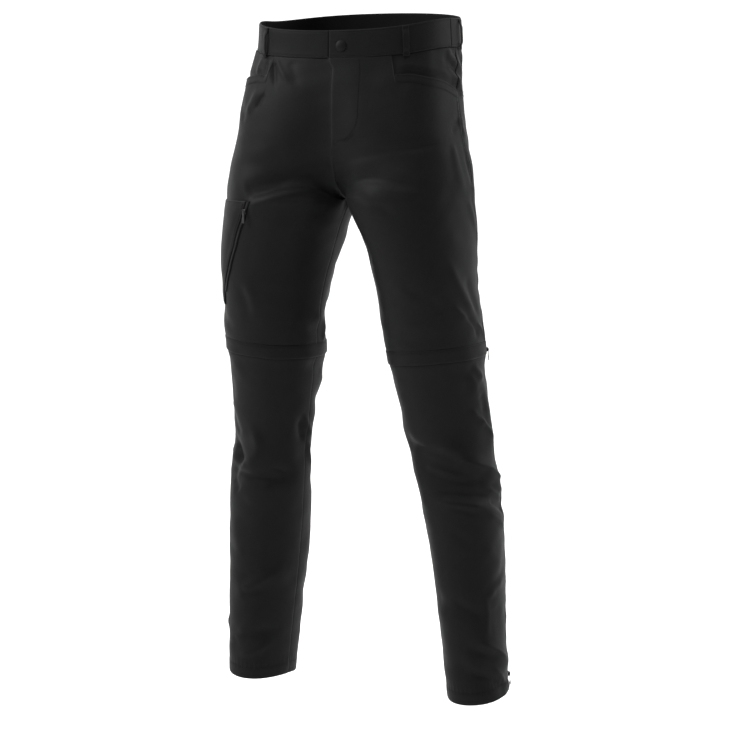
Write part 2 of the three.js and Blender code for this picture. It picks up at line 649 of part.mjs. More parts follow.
// Press stud on the lapping end of the waistband
{
  const spot = bandAt(24, 0.036);
  const cap = new THREE.CylinderGeometry(7.2, 8.4, 2.2, 28);
  cap.translate(0, 1.1, 0);
  const across = new THREE.Vector3(0, 0, 1).cross(spot.normal).normalize();
  const place = new THREE.Matrix4().makeBasis(across, spot.normal, across.clone().cross(spot.normal));
  place.setPosition(spot.point.clone().addScaledVector(spot.normal, bandOut + 0.6));
  add('press_stud', cap.applyMatrix4(place), stud);
}

export default part;
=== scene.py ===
"""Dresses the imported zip-off trousers: cloth shells, sewing, zips and materials.

Sizes are in millimetres until a mesh is made. Side 1 is the wearer's left and side -1 the wearer's right.
"""

import json
import math

import bpy
import numpy as np
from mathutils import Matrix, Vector


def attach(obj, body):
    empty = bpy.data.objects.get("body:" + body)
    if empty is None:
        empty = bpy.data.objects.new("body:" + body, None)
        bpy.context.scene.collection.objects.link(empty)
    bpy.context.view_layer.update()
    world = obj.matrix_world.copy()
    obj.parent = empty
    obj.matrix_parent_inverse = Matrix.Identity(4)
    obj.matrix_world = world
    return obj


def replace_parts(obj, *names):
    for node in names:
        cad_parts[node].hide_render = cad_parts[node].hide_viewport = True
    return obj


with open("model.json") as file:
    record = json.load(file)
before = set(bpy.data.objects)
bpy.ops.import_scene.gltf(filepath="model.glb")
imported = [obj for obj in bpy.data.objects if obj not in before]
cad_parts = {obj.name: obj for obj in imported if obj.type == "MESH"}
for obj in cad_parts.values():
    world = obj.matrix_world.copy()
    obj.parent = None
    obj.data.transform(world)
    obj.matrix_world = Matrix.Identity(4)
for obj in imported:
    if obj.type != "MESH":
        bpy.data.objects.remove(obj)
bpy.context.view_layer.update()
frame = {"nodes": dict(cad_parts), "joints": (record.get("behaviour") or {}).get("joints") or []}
MM = 0.001

# Sizes shared with the solids
BAND_HEIGHT = 42.0
CROTCH = 268.0
FORK = 92.0
KNEE_TOP = 494.0
KNEE_BOTTOM = 504.0
HEM = 1032.0
ANKLE_ZIP_TOP = 880.0
ZIP_WIDTH = 7.0
SEAM_GAP = 0.15
CLOTH = 1.1
SIDES = ((1, "left"), (-1, "right"))

# Hip sections: drop, half width, front, back, middle y, dip, rise, hollow, squareness
HIPS = np.array([
    (0, 153, 104, 108, -2, 19, 13, 0, 0.04),
    (42, 156, 104, 110, -4, 17, 11, 0, 0.04),
    (90, 163, 104, 120, -15, 10, 6, 4, 0.05),
    (150, 172, 105, 127, -25, 4, 3, 13, 0.055),
    (210, 184, 106, 128, -29, 0, 0, 26, 0.055),
    (268, 191, 108, 114, -34, 0, 0, 40, 0.04),
], float)

# Leg sections: drop, middle x and y, half width and depth, rise outwards and backwards, degrees turned
LEG = np.array([
    (268, 97.15, -31, 97, 108, 0, 0, 0),
    (335, 113, -29, 84, 104, 0.03, 0, 10),
    (400, 123, -28, 76, 96, 0.05, 0, 15),
    (445, 130, -25, 75, 87, 0.08, 0.03, 15),
    (500, 136, -18, 73, 81, 0.09, 0.03, 15),
    (525, 138, -15, 69, 76, 0.09, 0.03, 15),
    (620, 149, -1, 63, 65, 0.09, 0, 15),
    (700, 159, 9, 61, 64, 0.09, 0, 15),
    (780, 168, 23, 57, 69, 0.09, 0, 15),
    (860, 174, 27, 53, 68, 0.09, 0, 15),
    (940, 180, 27, 49, 64, 0.09, 0, 15),
    (1032, 187, 29, 46, 57, 0.09, 0, 15),
], float)

# Large folds, as in the solids: side (0 both), drop and turn of start, middle and end, height, width
FOLDS = [
    (1, 631, 0.08, 660, 0.22, 684, 0.37, -5, 16),
    (1, 642, 0.27, 664, 0.36, 690, 0.48, 5, 16),
    (1, 668, 0.16, 699, 0.28, 728, 0.5, -4, 15),
    (1, 718, 0.24, 732, 0.36, 752, 0.5, 3, 16),
    (1, 540, 0.42, 587, 0.47, 634, 0.48, 4, 17),
    (1, 870, 0.11, 884, 0.2, 899, 0.29, -3, 16),
    (1, 925, 0.3, 946, 0.37, 973, 0.47, 4, 16),
    (1, 979, 0.22, 996, 0.32, 1012, 0.42, -3, 15),
    (-1, 655, 0.31, 680, 0.28, 697, 0.3, -5, 16),
    (-1, 640, 0.2, 672, 0.21, 696, 0.25, 3, 15),
    (-1, 714, 0.34, 706, 0.22, 694, 0.08, -4, 15),
    (-1, 888, 0.23, 872, 0.16, 858, 0.08, 3, 16),
    (-1, 974, 0.27, 962, 0.18, 955, 0.1, -3, 15),
    (-1, 254, 0.27, 236, 0.17, 208, 0.02, -5, 13),
    (-1, 275, 0.26, 259, 0.17, 239, 0.06, 4, 12),
    (-1, 52, 0.35, 84, 0.34, 128, 0.33, 4, 28),
    (-1, 380, 0.88, 428, 0.88, 448, 0.88, -10, 30),
    (-1, 622, 0.88, 645, 0.89, 668, 0.88, -6, 17),
    (-1, 404, 0.36, 418, 0.36, 436, 0.36, -3, 24),
    (-1, 500, 0.37, 535, 0.37, 568, 0.38, -4, 24),
    (-1, 642, 0.4, 660, 0.4, 676, 0.4, -3, 18),
    (1, 286, 0.06, 308, 0.07, 334, 0.07, -8, 24),
    (1, 350, 0.06, 372, 0.06, 396, 0.05, -3, 26),
    (1, 650, 0.03, 680, 0.03, 704, 0.03, -3, 22),
    (1, 96, 0.65, 134, 0.65, 178, 0.65, -6, 30),
    (1, 190, 0.62, 226, 0.59, 268, 0.58, -4, 30),
    (-1, 604, 0.38, 628, 0.36, 652, 0.36, -4, 20),
    (-1, 618, 1, 640, 1, 660, 0.99, -3, 18),
    (1, 612, 0.02, 640, 0.02, 668, 0.03, 3, 22),
    (1, 712, 0.5, 722, 0.55, 736, 0.6, 5, 12),
    (0, 300, 0.68, 312, 0.8, 304, 0.92, -4, 18),
    (0, 345, 0.64, 352, 0.76, 340, 0.88, -3, 18),
    (1, 560, 0.62, 574, 0.74, 566, 0.88, -5, 16),
    (1, 612, 0.6, 600, 0.72, 606, 0.86, -4, 16),
    (-1, 552, 0.64, 570, 0.76, 580, 0.9, -5, 16),
    (-1, 622, 0.62, 606, 0.72, 598, 0.84, -4, 16),
    (1, 690, 0.62, 704, 0.74, 696, 0.86, -4, 16),
    (-1, 676, 0.6, 694, 0.72, 702, 0.86, -4, 16),
    (1, 905, 0.6, 918, 0.74, 908, 0.88, -3, 15),
    (-1, 915, 0.62, 904, 0.74, 896, 0.88, -3, 15),
]

# Finer creases: the same columns, then sharpness (0 soft, 1 crisp)
CREASES = [
    # gathers under the waistband and at the hip pocket, wearer's right
    (-1, 50, 0.182, 69, 0.168, 97, 0.147, -2.4, 4.5, 1),
    (-1, 46, 0.175, 60, 0.15, 92, 0.094, 1.8, 5, 1),
    (-1, 47, 0.2, 62, 0.192, 84, 0.182, 1.6, 4.5, 0),
    (-1, 50, 0.226, 66, 0.216, 90, 0.217, -1.8, 5, 0),
    (-1, 48, 0.252, 62, 0.262, 80, 0.258, 1.5, 5, 0),
    (-1, 48, 0.12, 64, 0.1, 96, 0.075, -1.1, 6, 0),
    (-1, 103, 0.186, 116, 0.2, 132, 0.216, -2.6, 5, 1),
    (-1, 96, 0.22, 118, 0.238, 140, 0.262, 2.2, 8, 0),
    (-1, 112, 0.33, 134, 0.3, 150, 0.25, -1.4, 8, 0),
    # folds that run out from the fork, wearer's right
    (-1, 250, 0.28, 225, 0.13, 202, 0.002, -2.4, 7, 0),
    (-1, 262, 0.28, 251, 0.22, 236, 0.14, -2.2, 5, 0),
    (-1, 271, 0.26, 254, 0.17, 232, 0.05, 1.4, 7, 0),
    (-1, 226, 0.004, 254, 0.014, 288, 0.006, -2.4, 7, 0),
    (-1, 290, 0.2, 286, 0.12, 282, 0.06, -1.2, 11, 0),
    (-1, 205, 0.3, 198, 0.2, 196, 0.1, 1.1, 14, 0),
    # the same, wearer's left
    (1, 183, 0.37, 190, 0.18, 196, 0.015, -2.2, 7, 0),
    (1, 205, 0.03, 209, 0.13, 219, 0.24, 1.0, 8, 0),
    (1, 218, 0.06, 231, 0.19, 251, 0.38, -2.2, 7, 0),
    (1, 243, 0.1, 267, 0.22, 289, 0.27, -1.4, 8, 0),
    (1, 226, 0.006, 250, 0.05, 284, 0.12, -1.6, 9, 0),
    # crumples round the hip pocket at the wearer's left side
    (1, 42, 0.437, 61, 0.49, 86, 0.61, 3.0, 7, 0),
    (1, 54, 0.41, 70, 0.475, 88, 0.57, -2.6, 6, 0),
    (1, 66, 0.43, 80, 0.48, 96, 0.55, 2.2, 6, 1),
    (1, 82, 0.525, 98, 0.533, 116, 0.562, 2.2, 7, 0),
    (1, 98, 0.49, 106, 0.52, 118, 0.54, -1.4, 6, 0),
    (1, 46, 0.53, 58, 0.56, 72, 0.62, -2.2, 5, 1),
    (1, 150, 0.51, 158, 0.47, 168, 0.43, -2.4, 6, 0),
    (1, 142, 0.53, 160, 0.52, 178, 0.56, 2.2, 6, 1),
    (1, 180, 0.42, 215, 0.44, 262, 0.478, 2.2, 10, 0),
    (1, 196, 0.5, 224, 0.51, 246, 0.53, -2.0, 8, 0),
    (1, 262, 0.49, 290, 0.5, 318, 0.52, 1.8, 8, 0),
    # wearer's left thigh above the knee
    (1, 352, 0.36, 400, 0.392, 446, 0.44, 2.6, 9, 0),
    (1, 372, 0.42, 412, 0.44, 448, 0.47, -2.2, 9, 0),
    (1, 420, 0.345, 446, 0.395, 474, 0.438, 3.2, 7, 1),
    (1, 436, 0.38, 458, 0.42, 478, 0.45, -3.0, 7, 0),
    (1, 452, 0.44, 470, 0.48, 492, 0.51, 2.6, 5, 1),
    (1, 448, 0.5, 462, 0.51, 480, 0.5, -2.4, 5, 0),
    (1, 388, 0.21, 398, 0.24, 404, 0.27, -1.3, 8, 0),
    (1, 406, 0.28, 420, 0.3, 434, 0.31, -1.6, 9, 0),
    (1, 436, 0.16, 446, 0.24, 450, 0.3, 1.2, 10, 0),
    (1, 462, 0.12, 468, 0.22, 466, 0.32, -1.0, 9, 0),
    # below the wearer's left knee
    (1, 512, 0.4, 526, 0.425, 540, 0.45, 2.8, 7, 0),
    (1, 522, 0.37, 545, 0.395, 560, 0.39, 2.2, 8, 0),
    (1, 556, 0.42, 574, 0.44, 596, 0.44, -3.0, 8, 0),
    (1, 578, 0.37, 596, 0.4, 612, 0.43, 2.4, 6, 0),
    (1, 592, 0.41, 610, 0.44, 634, 0.5, 3.4, 5, 1),
    (1, 508, 0.49, 524, 0.52, 546, 0.5, -2.6, 6, 0),
    # wearer's left shin folds
    (1, 634, 0.07, 640, 0.2, 668, 0.34, -3.6, 8, 0),
    (1, 650, 0.28, 664, 0.36, 676, 0.46, 3.2, 6, 1),
    (1, 658, 0.14, 672, 0.22, 688, 0.33, 2.2, 7, 0),
    (1, 664, 0.14, 682, 0.25, 694, 0.36, -2.0, 6, 0),
    (1, 672, 0.4, 682, 0.46, 700, 0.53, 2.6, 5, 1),
    (1, 684, 0.32, 694, 0.4, 704, 0.47, -2.4, 6, 0),
    (1, 700, 0.18, 709, 0.3, 713, 0.42, -4.0, 7, 0),
    (1, 716, 0.2, 722, 0.29, 728, 0.37, 2.4, 6, 0),
    (1, 706, 0.4, 716, 0.46, 738, 0.53, 3.4, 5, 1),
    (1, 722, 0.4, 734, 0.46, 752, 0.52, -2.8, 6, 0),
    (1, 722, 0.22, 732, 0.29, 740, 0.34, -1.8, 5, 0),
    (1, 742, 0.37, 755, 0.44, 777, 0.51, 2.6, 6, 1),
    (1, 758, 0.22, 774, 0.26, 786, 0.3, -1.2, 8, 0),
    (1, 786, 0.34, 808, 0.4, 826, 0.46, 1.4, 11, 0),
    (1, 842, 0.47, 856, 0.4, 870, 0.34, 2.4, 7, 0),
    (1, 820, 0.5, 846, 0.43, 868, 0.38, -1.4, 9, 0),
    (1, 864, 0.18, 884, 0.27, 894, 0.33, -2.8, 7, 0),
    (1, 880, 0.14, 900, 0.24, 912, 0.33, 1.6, 9, 0),
    (1, 862, 0.335, 898, 0.345, 934, 0.325, 2.2, 7, 0),
    (1, 880, 0.4, 900, 0.41, 922, 0.4, -1.2, 11, 0),
    (1, 936, 0.3, 948, 0.375, 980, 0.49, 3.4, 6, 1),
    (1, 944, 0.23, 952, 0.32, 972, 0.4, -3.4, 7, 0),
    (1, 952, 0.2, 968, 0.27, 984, 0.32, 1.6, 8, 0),
    (1, 984, 0.24, 990, 0.33, 1012, 0.43, -2.8, 6, 0),
    (1, 978, 0.36, 994, 0.42, 1018, 0.48, 2.4, 6, 1),
    (1, 1004, 0.47, 1014, 0.5, 1024, 0.54, 1.6, 5, 0),
    # wearer's right calf and shin
    (-1, 616, 0.237, 655, 0.19, 692, 0.27, 2.6, 7, 0),
    (-1, 652, 0.325, 668, 0.29, 684, 0.26, -4.4, 7, 0),
    (-1, 676, 0.24, 694, 0.27, 714, 0.32, 2.8, 6, 0),
    (-1, 682, 0.13, 686, 0.1, 692, 0.05, -1.6, 4, 1),
    (-1, 696, 0.3, 702, 0.19, 700, 0.08, -3.6, 6, 0),
    (-1, 712, 0.34, 722, 0.3, 730, 0.27, -2.4, 7, 0),
    (-1, 746, 0.24, 728, 0.18, 712, 0.11, 1.8, 10, 0),
    (-1, 600, 0.34, 624, 0.31, 640, 0.27, -2.2, 8, 0),
    (-1, 514, 0.3, 530, 0.27, 546, 0.24, 1.2, 10, 0),
    (-1, 546, 0.34, 566, 0.32, 590, 0.33, -1.6, 10, 0),
    (-1, 828, 0.25, 820, 0.2, 816, 0.15, -1.2, 8, 0),
    (-1, 882, 0.235, 872, 0.17, 846, 0.06, 2.2, 6, 0),
    (-1, 896, 0.24, 888, 0.18, 878, 0.12, -2.2, 6, 0),
    (-1, 866, 0.23, 856, 0.19, 848, 0.14, -1.0, 7, 0),
    (-1, 966, 0.26, 940, 0.2, 918, 0.14, 2.0, 7, 0),
    (-1, 972, 0.27, 954, 0.16, 948, 0.06, -2.8, 7, 0),
    (-1, 992, 0.25, 984, 0.16, 962, 0.07, 2.4, 6, 0),
    (-1, 1006, 0.22, 996, 0.15, 984, 0.08, -1.2, 8, 0),
    (-1, 770, 0.3, 800, 0.27, 840, 0.26, 1.2, 14, 0),
    # wearer's right thigh above the knee
    (-1, 388, 0.23, 412, 0.2, 440, 0.19, 1.4, 9, 0),
    (-1, 396, 0.25, 424, 0.22, 452, 0.22, -1.4, 9, 0),
    (-1, 318, 0.24, 350, 0.22, 380, 0.22, -0.9, 14, 0),
    (-1, 430, 0.38, 452, 0.33, 470, 0.26, -1.4, 10, 0),
    # inner side of both legs near the knee
    (0, 455, 0.03, 468, 0.97, 478, 0.93, -2.0, 7, 0),
    (0, 440, 0.0, 452, 0.95, 468, 0.9, 1.6, 7, 0),
    (0, 512, 0.02, 524, 0.96, 534, 0.91, -1.8, 8, 0),
    (-1, 446, 0.96, 466, 0.93, 484, 0.95, 2.2, 6, 0),
    (-1, 596, 1.01, 618, 0.97, 640, 0.94, 2.6, 5, 0),
    (-1, 644, 0.95, 664, 0.94, 692, 0.905, 2.4, 6, 0),
    (-1, 600, 1.012, 622, 1.014, 644, 0.985, -3.0, 6, 0),
    (1, 602, 0.99, 622, 0.965, 648, 0.94, 2.0, 6, 0),
    (1, 650, 0.97, 668, 0.95, 690, 0.92, -2.0, 7, 0),
    # seat: folds that fan out from the fork
    (0, 214, 0.97, 236, 0.93, 262, 0.84, -3.4, 10, 0),
    (0, 232, 0.98, 262, 0.94, 296, 0.88, -3.4, 10, 0),
    (0, 226, 0.95, 250, 0.9, 280, 0.8, 2.4, 10, 0),
    (1, 190, 0.96, 204, 0.88, 214, 0.76, -2.0, 12, 0),
    (-1, 184, 0.95, 200, 0.86, 206, 0.74, -2.2, 12, 0),
    (1, 262, 0.62, 278, 0.74, 276, 0.86, -2.4, 12, 0),
    (-1, 268, 0.64, 284, 0.72, 286, 0.84, -2.2, 11, 0),
    (0, 52, 0.93, 82, 0.91, 120, 0.9, -1.2, 12, 0),
    (0, 50, 0.8, 74, 0.79, 108, 0.78, -1.2, 9, 0),
    (1, 48, 0.7, 70, 0.7, 100, 0.69, 1.6, 6, 0),
    (-1, 48, 0.68, 74, 0.685, 96, 0.68, 1.6, 6, 0),
    (0, 48, 0.64, 66, 0.645, 90, 0.65, -1.6, 6, 0),
    (0, 48, 0.6, 62, 0.605, 80, 0.61, 1.4, 5, 0),
    # back of the thighs and knees
    (0, 322, 0.66, 334, 0.78, 326, 0.92, 1.8, 10, 0),
    (1, 384, 0.6, 400, 0.7, 408, 0.82, -2.0, 11, 0),
    (-1, 392, 0.62, 404, 0.74, 398, 0.88, -2.0, 11, 0),
    (0, 432, 0.64, 440, 0.76, 432, 0.9, -2.4, 9, 0),
    (0, 452, 0.6, 462, 0.74, 458, 0.92, 2.0, 9, 0),
    (0, 474, 0.66, 480, 0.78, 476, 0.88, -1.6, 7, 0),
    (0, 520, 0.6, 532, 0.72, 526, 0.88, -3.0, 8, 0),
    (0, 540, 0.64, 550, 0.78, 544, 0.92, 2.4, 8, 0),
    (1, 586, 0.6, 588, 0.74, 596, 0.9, 2.6, 8, 0),
    (-1, 584, 0.6, 592, 0.72, 586, 0.88, 2.6, 8, 0),
    (1, 626, 0.58, 636, 0.68, 630, 0.8, -2.0, 8, 0),
    (-1, 642, 0.58, 650, 0.68, 646, 0.82, -2.4, 8, 0),
    (1, 664, 0.56, 676, 0.66, 680, 0.8, 2.0, 9, 0),
    (-1, 724, 0.5, 736, 0.62, 728, 0.76, -2.0, 9, 0),
    (1, 726, 0.56, 742, 0.68, 736, 0.82, -2.2, 9, 0),
    (0, 784, 0.6, 796, 0.72, 792, 0.84, -1.2, 12, 0),
    (1, 866, 0.6, 876, 0.7, 868, 0.84, 1.6, 9, 0),
    (-1, 872, 0.6, 864, 0.7, 868, 0.84, 1.6, 9, 0),
    (0, 952, 0.58, 962, 0.7, 954, 0.86, -2.0, 8, 0),
    (0, 984, 0.6, 990, 0.7, 984, 0.82, 1.6, 8, 0),
    # outer sides that the photo doesn't show
    (-1, 508, 0.46, 526, 0.5, 548, 0.48, -2.4, 6, 0),
    (-1, 452, 0.42, 470, 0.47, 490, 0.5, 2.4, 6, 1),
    (-1, 438, 0.5, 462, 0.52, 486, 0.5, -2.2, 6, 0),
    (-1, 590, 0.4, 606, 0.45, 622, 0.52, 2.2, 7, 0),
    (-1, 640, 0.42, 656, 0.47, 672, 0.55, -2.4, 7, 0),
    (-1, 664, 0.38, 682, 0.45, 694, 0.53, 2.4, 6, 0),
    (-1, 86, 0.49, 98, 0.53, 112, 0.55, 2.2, 5, 1),
    (-1, 50, 0.44, 62, 0.49, 78, 0.58, 2.4, 5, 1),
    (-1, 58, 0.42, 72, 0.48, 88, 0.56, -2.4, 5, 0),
    (-1, 852, 0.46, 868, 0.41, 884, 0.35, -1.6, 8, 0),
    (-1, 940, 0.33, 954, 0.39, 972, 0.46, 2.2, 7, 0),
]

# Scooped mouth of the hip pockets: share of the front panel's width, drop of the edge
MOUTH = np.array([(0.36, 42.3), (0.374, 74), (0.48, 75), (0.64, 84), (0.8, 92), (1, 106)], float)
MOUTH_START = 0.374
SHARED_FROM = 200.0

# Front edge of the thigh pocket, where its zip runs: drop and turn
THIGH_ZIP = np.array([(272, 0.288), (300, 0.284), (340, 0.283), (375, 0.295), (412, 0.318)], float)
THIGH_TOP = 270.0
THIGH_END = 432.0
THIGH_BACK = 0.62


def read_table(table, place):
    """A smooth curve through a table's rows, at the place that its first column gives."""
    key = table[:, 0]
    last = len(key) - 1
    at = np.clip(np.asarray(place, float), key[0], key[-1])
    i = np.clip(np.searchsorted(key, at, side="left") - 1, 0, last - 1)
    before, after = np.maximum(i - 1, 0), np.minimum(i + 2, last)
    step = (key[i + 1] - key[i])[..., None]
    u = (at - key[i])[..., None] / step
    rise = (table[i + 1] - table[before]) / (key[i + 1] - key[before])[..., None] * step
    fall = (table[after] - table[i]) / (key[after] - key[i])[..., None] * step
    start = (2 * u**3 - 3 * u**2 + 1) * table[i] + (u**3 - 2 * u**2 + u) * rise
    return start + (3 * u**2 - 2 * u**3) * table[i + 1] + (u**3 - u**2) * fall


def smooth(start, end, value):
    u = np.clip((np.asarray(value, float) - start) / (end - start), 0, 1)
    return u * u * (3 - 2 * u)


def bell(distance, width):
    """1 at no distance, falling off over the width."""
    return np.exp(-((distance / width) ** 2))


def unit(vectors):
    return vectors / np.linalg.norm(vectors, axis=-1, keepdims=True)


def oval(angle, square):
    side = (np.sin(angle) + square * np.sin(3 * angle)) / (1 - square)
    front = (np.cos(angle) - square * np.cos(3 * angle)) / (1 - square)
    return side, front


def hip_point(drop, turn):
    """A point of the hips: turn 0 is the front seam, 0.5 the side and 1 the back seam."""
    _, half, front, back, mid_y, dip, rise, hollow, square = np.moveaxis(read_table(HIPS, drop), -1, 0)
    across, ahead = oval(np.pi * turn, square)
    x = half * across
    in_front = ahead > 0
    y = np.where(in_front, -front * ahead + hollow * bell(x, 48), -back * ahead)
    lift = np.where(in_front, -dip * ahead**2, rise * ahead**2)
    return np.stack([x, mid_y + y, -drop + lift], -1)


def leg_point(drop, turn):
    """A point of the leg: turn 0 is the inner seam, 0.25 the front and 0.5 the outer side."""
    _, mid_x, mid_y, half, deep, out_rise, back_rise, turned = np.moveaxis(read_table(LEG, drop), -1, 0)
    across, ahead = oval(2 * np.pi * turn, 0.015)
    x, y = -half * ahead, -deep * across
    c, s = np.cos(np.radians(turned)), np.sin(np.radians(turned))
    out_x, out_y = x * c - y * s, x * s + y * c
    return np.stack([mid_x + out_x, mid_y + out_y, -drop + out_rise * out_x + back_rise * out_y], -1)


FORK_START = CROTCH - FORK
FORK_LENGTH = FORK * math.pi / 2
FORK_END = FORK_START + FORK_LENGTH
FORK_ROUND = 26.0


def row_of(drop):
    drop = np.asarray(drop, float)
    around = FORK_START + (drop - FORK_START) * FORK_LENGTH / FORK
    return np.where(drop < FORK_START, drop, np.where(drop > CROTCH, drop - CROTCH + FORK_END, around))


def drop_of(row):
    row = np.asarray(row, float)
    around = FORK_START + (row - FORK_START) * FORK / FORK_LENGTH
    return np.where(row < FORK_START, row, np.where(row > FORK_END, row - FORK_END + CROTCH, around))


def joined_point(row, turn):
    """The hips run into the legs round the fork, on an arc at the inner seam."""
    row, turn = np.broadcast_arrays(np.asarray(row, float), np.asarray(turn, float))
    s = np.clip((row - FORK_START) / FORK_LENGTH, 0, 1)
    near = np.cos(np.pi * turn) ** 8
    middle = FORK_START + FORK * (near * np.sin(s * np.pi / 2) + (1 - near) * s)
    drop = np.where(row <= FORK_START, row, middle)
    parted = (near * (1 - np.cos(s * np.pi / 2)) + (1 - near) * s * s * (3 - 2 * s))[..., None]
    hip = hip_point(drop, turn)
    hip[..., 0] += SEAM_GAP
    thigh = leg_point(np.full_like(row, CROTCH), turn)
    thigh[..., 2] += CROTCH - middle
    mixed = hip * (1 - parted) + thigh * parted
    below = leg_point(np.maximum(drop_of(row), CROTCH), turn)
    return np.where((row >= FORK_END)[..., None], below, mixed)


def base_point(row, turn):
    """The surface without folds. Beside the inner seam its turn inwards at the fork is rounded off."""
    row, turn = np.broadcast_arrays(np.asarray(row, float), np.asarray(turn, float))
    apart = np.abs(turn - np.round(turn))
    reach = FORK_ROUND * smooth(0, 0.07, apart) * smooth(0.26, 0.18, apart)
    reach = reach * smooth(FORK_END - 75, FORK_END - 35, row) * smooth(FORK_END + 65, FORK_END + 30, row)
    return sum(
        joined_point(row + shift * reach, turn) * weight
        for shift, weight in ((-1, 0.125), (-0.5, 0.25), (0, 0.25), (0.5, 0.25), (1, 0.125))
    )


def round_length(row):
    """Millimetres round the cloth for a whole turn."""
    row = np.asarray(row, float)
    h = read_table(HIPS, np.minimum(row, CROTCH))
    g = read_table(LEG, np.maximum(drop_of(row), CROTCH))
    hips = np.pi * np.hypot(h[..., 1], (h[..., 2] + h[..., 3]) / 2) / math.sqrt(2)
    legs = 2 * np.pi * np.hypot(g[..., 3], g[..., 4]) / math.sqrt(2)
    return np.where(row < FORK_START, hips, legs)


def line_distance(drop, around, points):
    """Distance to a polyline and the share of its length at the nearest point."""
    best = np.full(drop.shape, 1e9)
    share = np.zeros(drop.shape)
    count = len(points) - 1
    for k in range(count):
        a, b = points[k], points[k + 1]
        d = b - a
        u = np.clip(((drop - a[0]) * d[0] + (around - a[1]) * d[1]) / (d @ d), 0, 1)
        far = np.hypot(drop - a[0] - u * d[0], around - a[1] - u * d[1])
        nearer = far < best
        best = np.where(nearer, far, best)
        share = np.where(nearer, (k + u) / count, share)
    return best, share


def parabola(start, middle, end, u):
    """From start to end through the middle value at half way."""
    return (1 - u) ** 2 * start + 2 * u * (1 - u) * (2 * middle - (start + end) / 2) + u**2 * end


def fold_relief(side, row, turn):
    """How far the large folds and the finer creases move the cloth out."""
    drop, wide = drop_of(row), round_length(row)
    height = np.zeros(drop.shape)
    u = np.linspace(0, 1, 13)
    for line in [(*fold, None) for fold in FOLDS] + CREASES:
        which, tall, width, crisp = line[0], *line[7:]
        if which not in (0, side):
            continue
        turns = [line[2], line[4], line[6]]
        for k in (1, 2):
            turns[k] += round(turns[k - 1] - turns[k])
        drops, bend = parabola(*line[1:7:2], u), parabola(*turns, u)
        level = float(round_length(row_of(drops.mean())))
        reach = (4.5 if crisp == 1 else 3.2) * width
        for wrap in (-1, 0, 1) if drops.min() > CROTCH else (0,):
            shifted = bend + wrap
            close = np.abs(drop - np.clip(drop, drops.min(), drops.max())) < reach
            close &= np.abs(turn - np.clip(turn, shifted.min(), shifted.max())) * wide < reach
            if not close.any():
                continue
            points = np.stack([drops, shifted * level], -1)
            best, share = line_distance(drop[close], turn[close] * level, points)
            if crisp is None:
                height[close] += tall * bell(best, width)
                continue
            fade = smooth(0, 0.28, share) * smooth(1, 0.72, share) * 0.85 + 0.15
            profile = 1 / (1 + (best / width * 1.15) ** 2) ** 1.6 if crisp else bell(best, width)
            height[close] += tall * fade * profile
    return height


rng = np.random.default_rng(11)


def wave_set(count, shortest, longest):
    directions = rng.normal(size=(count, 3))
    directions /= np.linalg.norm(directions, axis=1, keepdims=True)
    lengths = np.exp(rng.uniform(math.log(shortest), math.log(longest), count))
    return directions * (2 * math.pi / lengths)[:, None], rng.uniform(0, 2 * math.pi, count)


SLOW_WAVES = wave_set(10, 90, 220)
RUMPLE_WAVES = wave_set(26, 26, 80)


def waves(points, wave):
    vectors, phase = wave
    return np.sin(points @ vectors.T + phase).mean(-1)


def rumple(points):
    """Slight unevenness of worn cloth, stronger in some places than in others."""
    strength = 0.6 + 1.6 * np.clip(waves(points, SLOW_WAVES) * 2 + 0.35, 0, 1)
    return waves(points, RUMPLE_WAVES) * strength


# The fly's edge lies this share of a turn to the wearer's left of the middle
FLY_SHIFT = 0.013


def cloth_at(side, row, turn, extra=0.0):
    """The cloth's outer face and its normal on one side of the trousers, with all its folds."""
    row, turn = np.broadcast_arrays(np.asarray(row, float), np.asarray(turn, float))
    shifted = smooth(44, 62, drop_of(row)) * smooth(215, 165, drop_of(row)) * smooth(0.14, 0.0, np.abs(turn))
    turn = turn + side * FLY_SHIFT * shifted
    middle = base_point(row, turn)
    downward = base_point(row + 1, turn) - base_point(row - 1, turn)
    around = base_point(row, turn + 0.004) - base_point(row, turn - 0.004)
    normal = unit(np.cross(downward, around))
    mirrored = middle * np.array([side, 1, 1])
    height = fold_relief(side, row, turn) + 1.1 * rumple(mirrored) * smooth(40, 70, drop_of(row)) + extra
    middle = middle + normal * height[..., None]
    flip = np.array([side, 1, 1])
    return middle * flip, normal * flip


def inner_seam(row):
    return -0.026 * smooth(FORK_END + 5, FORK_END + 90, row)


def outer_seam(row):
    return 0.515 + 0.015 * smooth(100, 420, row)


ANKLE_ROW = float(row_of(ANKLE_ZIP_TOP))


def inner_gap(row):
    return SEAM_GAP / round_length(row) * smooth(FORK_END - 25, FORK_END, row)


def outer_gap(row):
    opened = (ZIP_WIDTH / 2 + 0.2) * smooth(ANKLE_ROW - 15, ANKLE_ROW, row)
    return (SEAM_GAP + opened) / round_length(row)


def front_turn(a, row):
    start = inner_seam(row) + inner_gap(row)
    return start + a * (outer_seam(row) - outer_gap(row) - start)


def back_turn(a, row):
    start = outer_seam(row) + outer_gap(row)
    return start + a * (1 + inner_seam(row) - inner_gap(row) - start)


# Materials


def grey(value, blue=None):
    """A neutral colour, or one with its own amount of blue."""
    return (value, value, value if blue is None else blue)


def add_node(tree, kind, inputs=None, **settings):
    """Adds a shader node. Each input is a value or the socket that feeds it."""
    made = tree.nodes.new(kind)
    for key, value in settings.items():
        setattr(made, key, value)
    for key, value in (inputs or {}).items():
        if isinstance(value, bpy.types.NodeSocket):
            tree.links.new(value, made.inputs[key])
        else:
            made.inputs[key].default_value = value
    return made


